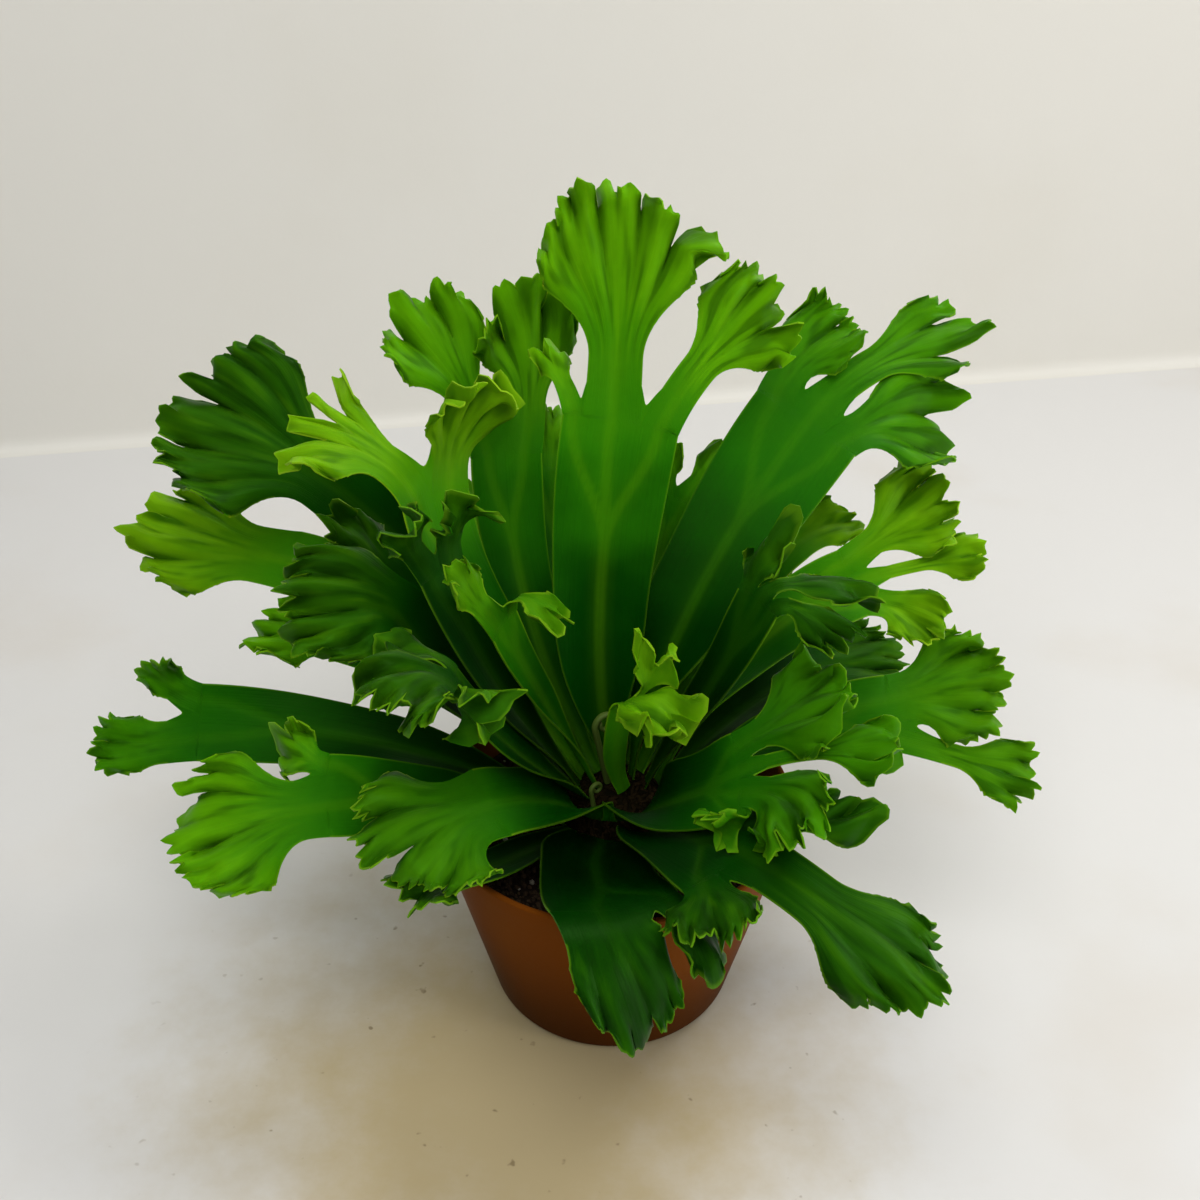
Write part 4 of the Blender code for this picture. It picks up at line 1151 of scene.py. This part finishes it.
def make_stage():
    """A pale floor, and a pale wall behind it, which a view from its other side sees through."""
    marks = make_marks_group()
    pale = finish("pale_floor", marks, {
        "Colour": (0.675, 0.67, 0.66), "Marks": (0.65, 0.63, 0.60), "Stain": (0.43, 0.34, 0.17),
        "Scale": 9.0}, 0.00005, 0.6)
    plaster = finish("pale_plaster", marks, {
        "Colour": (0.71, 0.695, 0.645), "Marks": (0.69, 0.67, 0.61), "Scale": 5.0}, 0.00005, 0.7)
    tree = Tree(plaster.node_tree)
    back = tree.named("ShaderNodeNewGeometry")["Backfacing"]
    tree.put(plaster.node_tree.nodes["Principled BSDF"].inputs["Alpha"], tree.math("SUBTRACT", 1.0, back))
    corners = [(-1600, -1600, 0), (1600, -1600, 0), (1600, WALL[1][1] + 30, 0), (-1600, WALL[0][1] - 30, 0)]
    piece_of("floor", corners, [[0, 1, 2, 3]], pale)
    ends = np.array(WALL)
    direction = unit(ends[1] - ends[0])
    inward = np.array([direction[1], -direction[0]])
    points = [(*(end + inward * out), z) for out, z in WALL_PROFILE for end in ends]
    faces = [[low, low + 1, low + 3, low + 2] for low in range(0, len(points) - 2, 2)]
    wall = piece_of("wall", points, faces, plaster)
    wall.data.shade_smooth()


def add_light(name, place, target, size, power, colour=(1, 1, 1)):
    """A soft square light at a place, in metres, that faces a target."""
    lamp = bpy.data.lights.new(name, "AREA")
    lamp.size, lamp.energy, lamp.color = size, power, colour
    made = link(name, lamp)
    made.location = place
    made.rotation_euler = (Vector(target) - Vector(place)).to_track_quat("-Z", "Y").to_euler()


def make_lights():
    aim = (0.0, 0.0, 0.11)
    add_light("ceiling", (-0.05, -0.60, 1.30), aim, 1.1, 13.0, (1.0, 1.0, 0.99))
    add_light("key", (0.55, 0.30, 0.95), aim, 0.3, 3.0, (1.0, 0.985, 0.96))
    add_light("fill", (0.95, -0.45, 0.30), (0.0, 0.0, 0.06), 0.3, 4.0, (1.0, 0.97, 0.93))
    world = bpy.data.worlds.new("studio")
    world.use_nodes = True
    background = world.node_tree.nodes["Background"]
    background.inputs["Color"].default_value = (1.0, 1.0, 1.0, 1.0)
    background.inputs["Strength"].default_value = 0.24
    bpy.context.scene.world = world
    bpy.context.scene.view_settings.view_transform = "Standard"


def make_camera():
    """The camera at the photograph's viewing angle."""
    lens = bpy.data.cameras.new("camera")
    lens.lens, lens.sensor_width = 42.0, 36.0
    camera = link("camera", lens)
    camera.location = np.array((-3.8, -324.4, 345.6)) * MM
    camera.rotation_euler = (np.radians(57.5), 0, 0)
    bpy.context.scene.camera = camera


def main():
    make_camera()
    leaf_group, crumbs = make_leaf_group(), make_crumb_group()
    leaf_finishes = {tone: make_leaf_finishes(leaf_group, tone) for tone in LEAF_COLOURS}
    # The foot colour is painted shade
    plastic = finish("brown_plastic", make_grain_and_shade_group(), {
        "Colour": (0.145, 0.038, 0.003), "Marks": (0.16, 0.050, 0.006), "Foot": (0.060, 0.017, 0.002),
        "Grain": 900.0}, 0.00003, Specular_Tint=(1.0, 0.60, 0.25, 1.0), IOR=1.08)
    earth = finish("dark_earth", crumbs, {
        "Dark": (0.006, 0.004, 0.003), "Light": (0.045, 0.028, 0.016), "Scale": 500.0}, 0.0008, 0.9, IOR=1.1)
    perlite = finish("perlite", crumbs, {
        "Dark": (0.12, 0.10, 0.07), "Light": (0.28, 0.26, 0.21), "Scale": 900.0}, 0.0003, 0.8)
    bark = finish("rootstock_bark", crumbs, {
        "Dark": (0.003, 0.003, 0.001), "Light": (0.016, 0.011, 0.005), "Scale": 350.0}, 0.0008, 0.85,
        IOR=1.05)
    scale = finish("papery_scales", crumbs, {
        "Dark": (0.003, 0.003, 0.001), "Light": (0.016, 0.010, 0.004), "Scale": 800.0}, 0.0002, 0.85,
        IOR=1.05)
    bud = finish("young_coil", leaf_group, {
        "Deep": (0.035, 0.065, 0.006), "Blade": (0.22, 0.30, 0.05), "Tip": (0.30, 0.42, 0.08),
        "Rib": (0.3, 0.4, 0.1), "Edge": (0.25, 0.35, 0.08), "Contrast": 0.0}, 0.0001, 0.4, IOR=1.2)
    make_pot(plastic)
    soil = make_soil(earth)
    crown = make_crown(bark)
    Scatter("soil crumbs", earth, 3).over(
        "soil_crumbs", soil, "soil", Density=450000, Smallest=0.0004, Largest=0.0013,
        Length=0.8, Height=0.7, Lean=1.0, Inner=0.0205, Outer=0.0475, Lowest=0.058)
    Scatter("perlite grains", perlite, 17).over(
        "perlite_grains", soil, "soil", Density=6000, Smallest=0.0005, Largest=0.0012,
        Length=0.9, Height=0.8, Lean=1.0, Inner=0.021, Outer=0.047, Lowest=0.058)
    Scatter("crown scales", scale, 29).over(
        "crown_scales", crown, "crown", Density=600000, Smallest=0.0004, Largest=0.0009,
        Length=3.2, Height=0.35, Lift=0.0002, Lean=0.12, Outer=0.0189, Lowest=0.061)
    for name, sizes in CROZIERS.items():
        make_crozier(bud, name, *sizes)
    for frond in FRONDS:
        make_leaf(frond, leaf_finishes[frond.tone])
    make_stage()
    make_lights()


main()
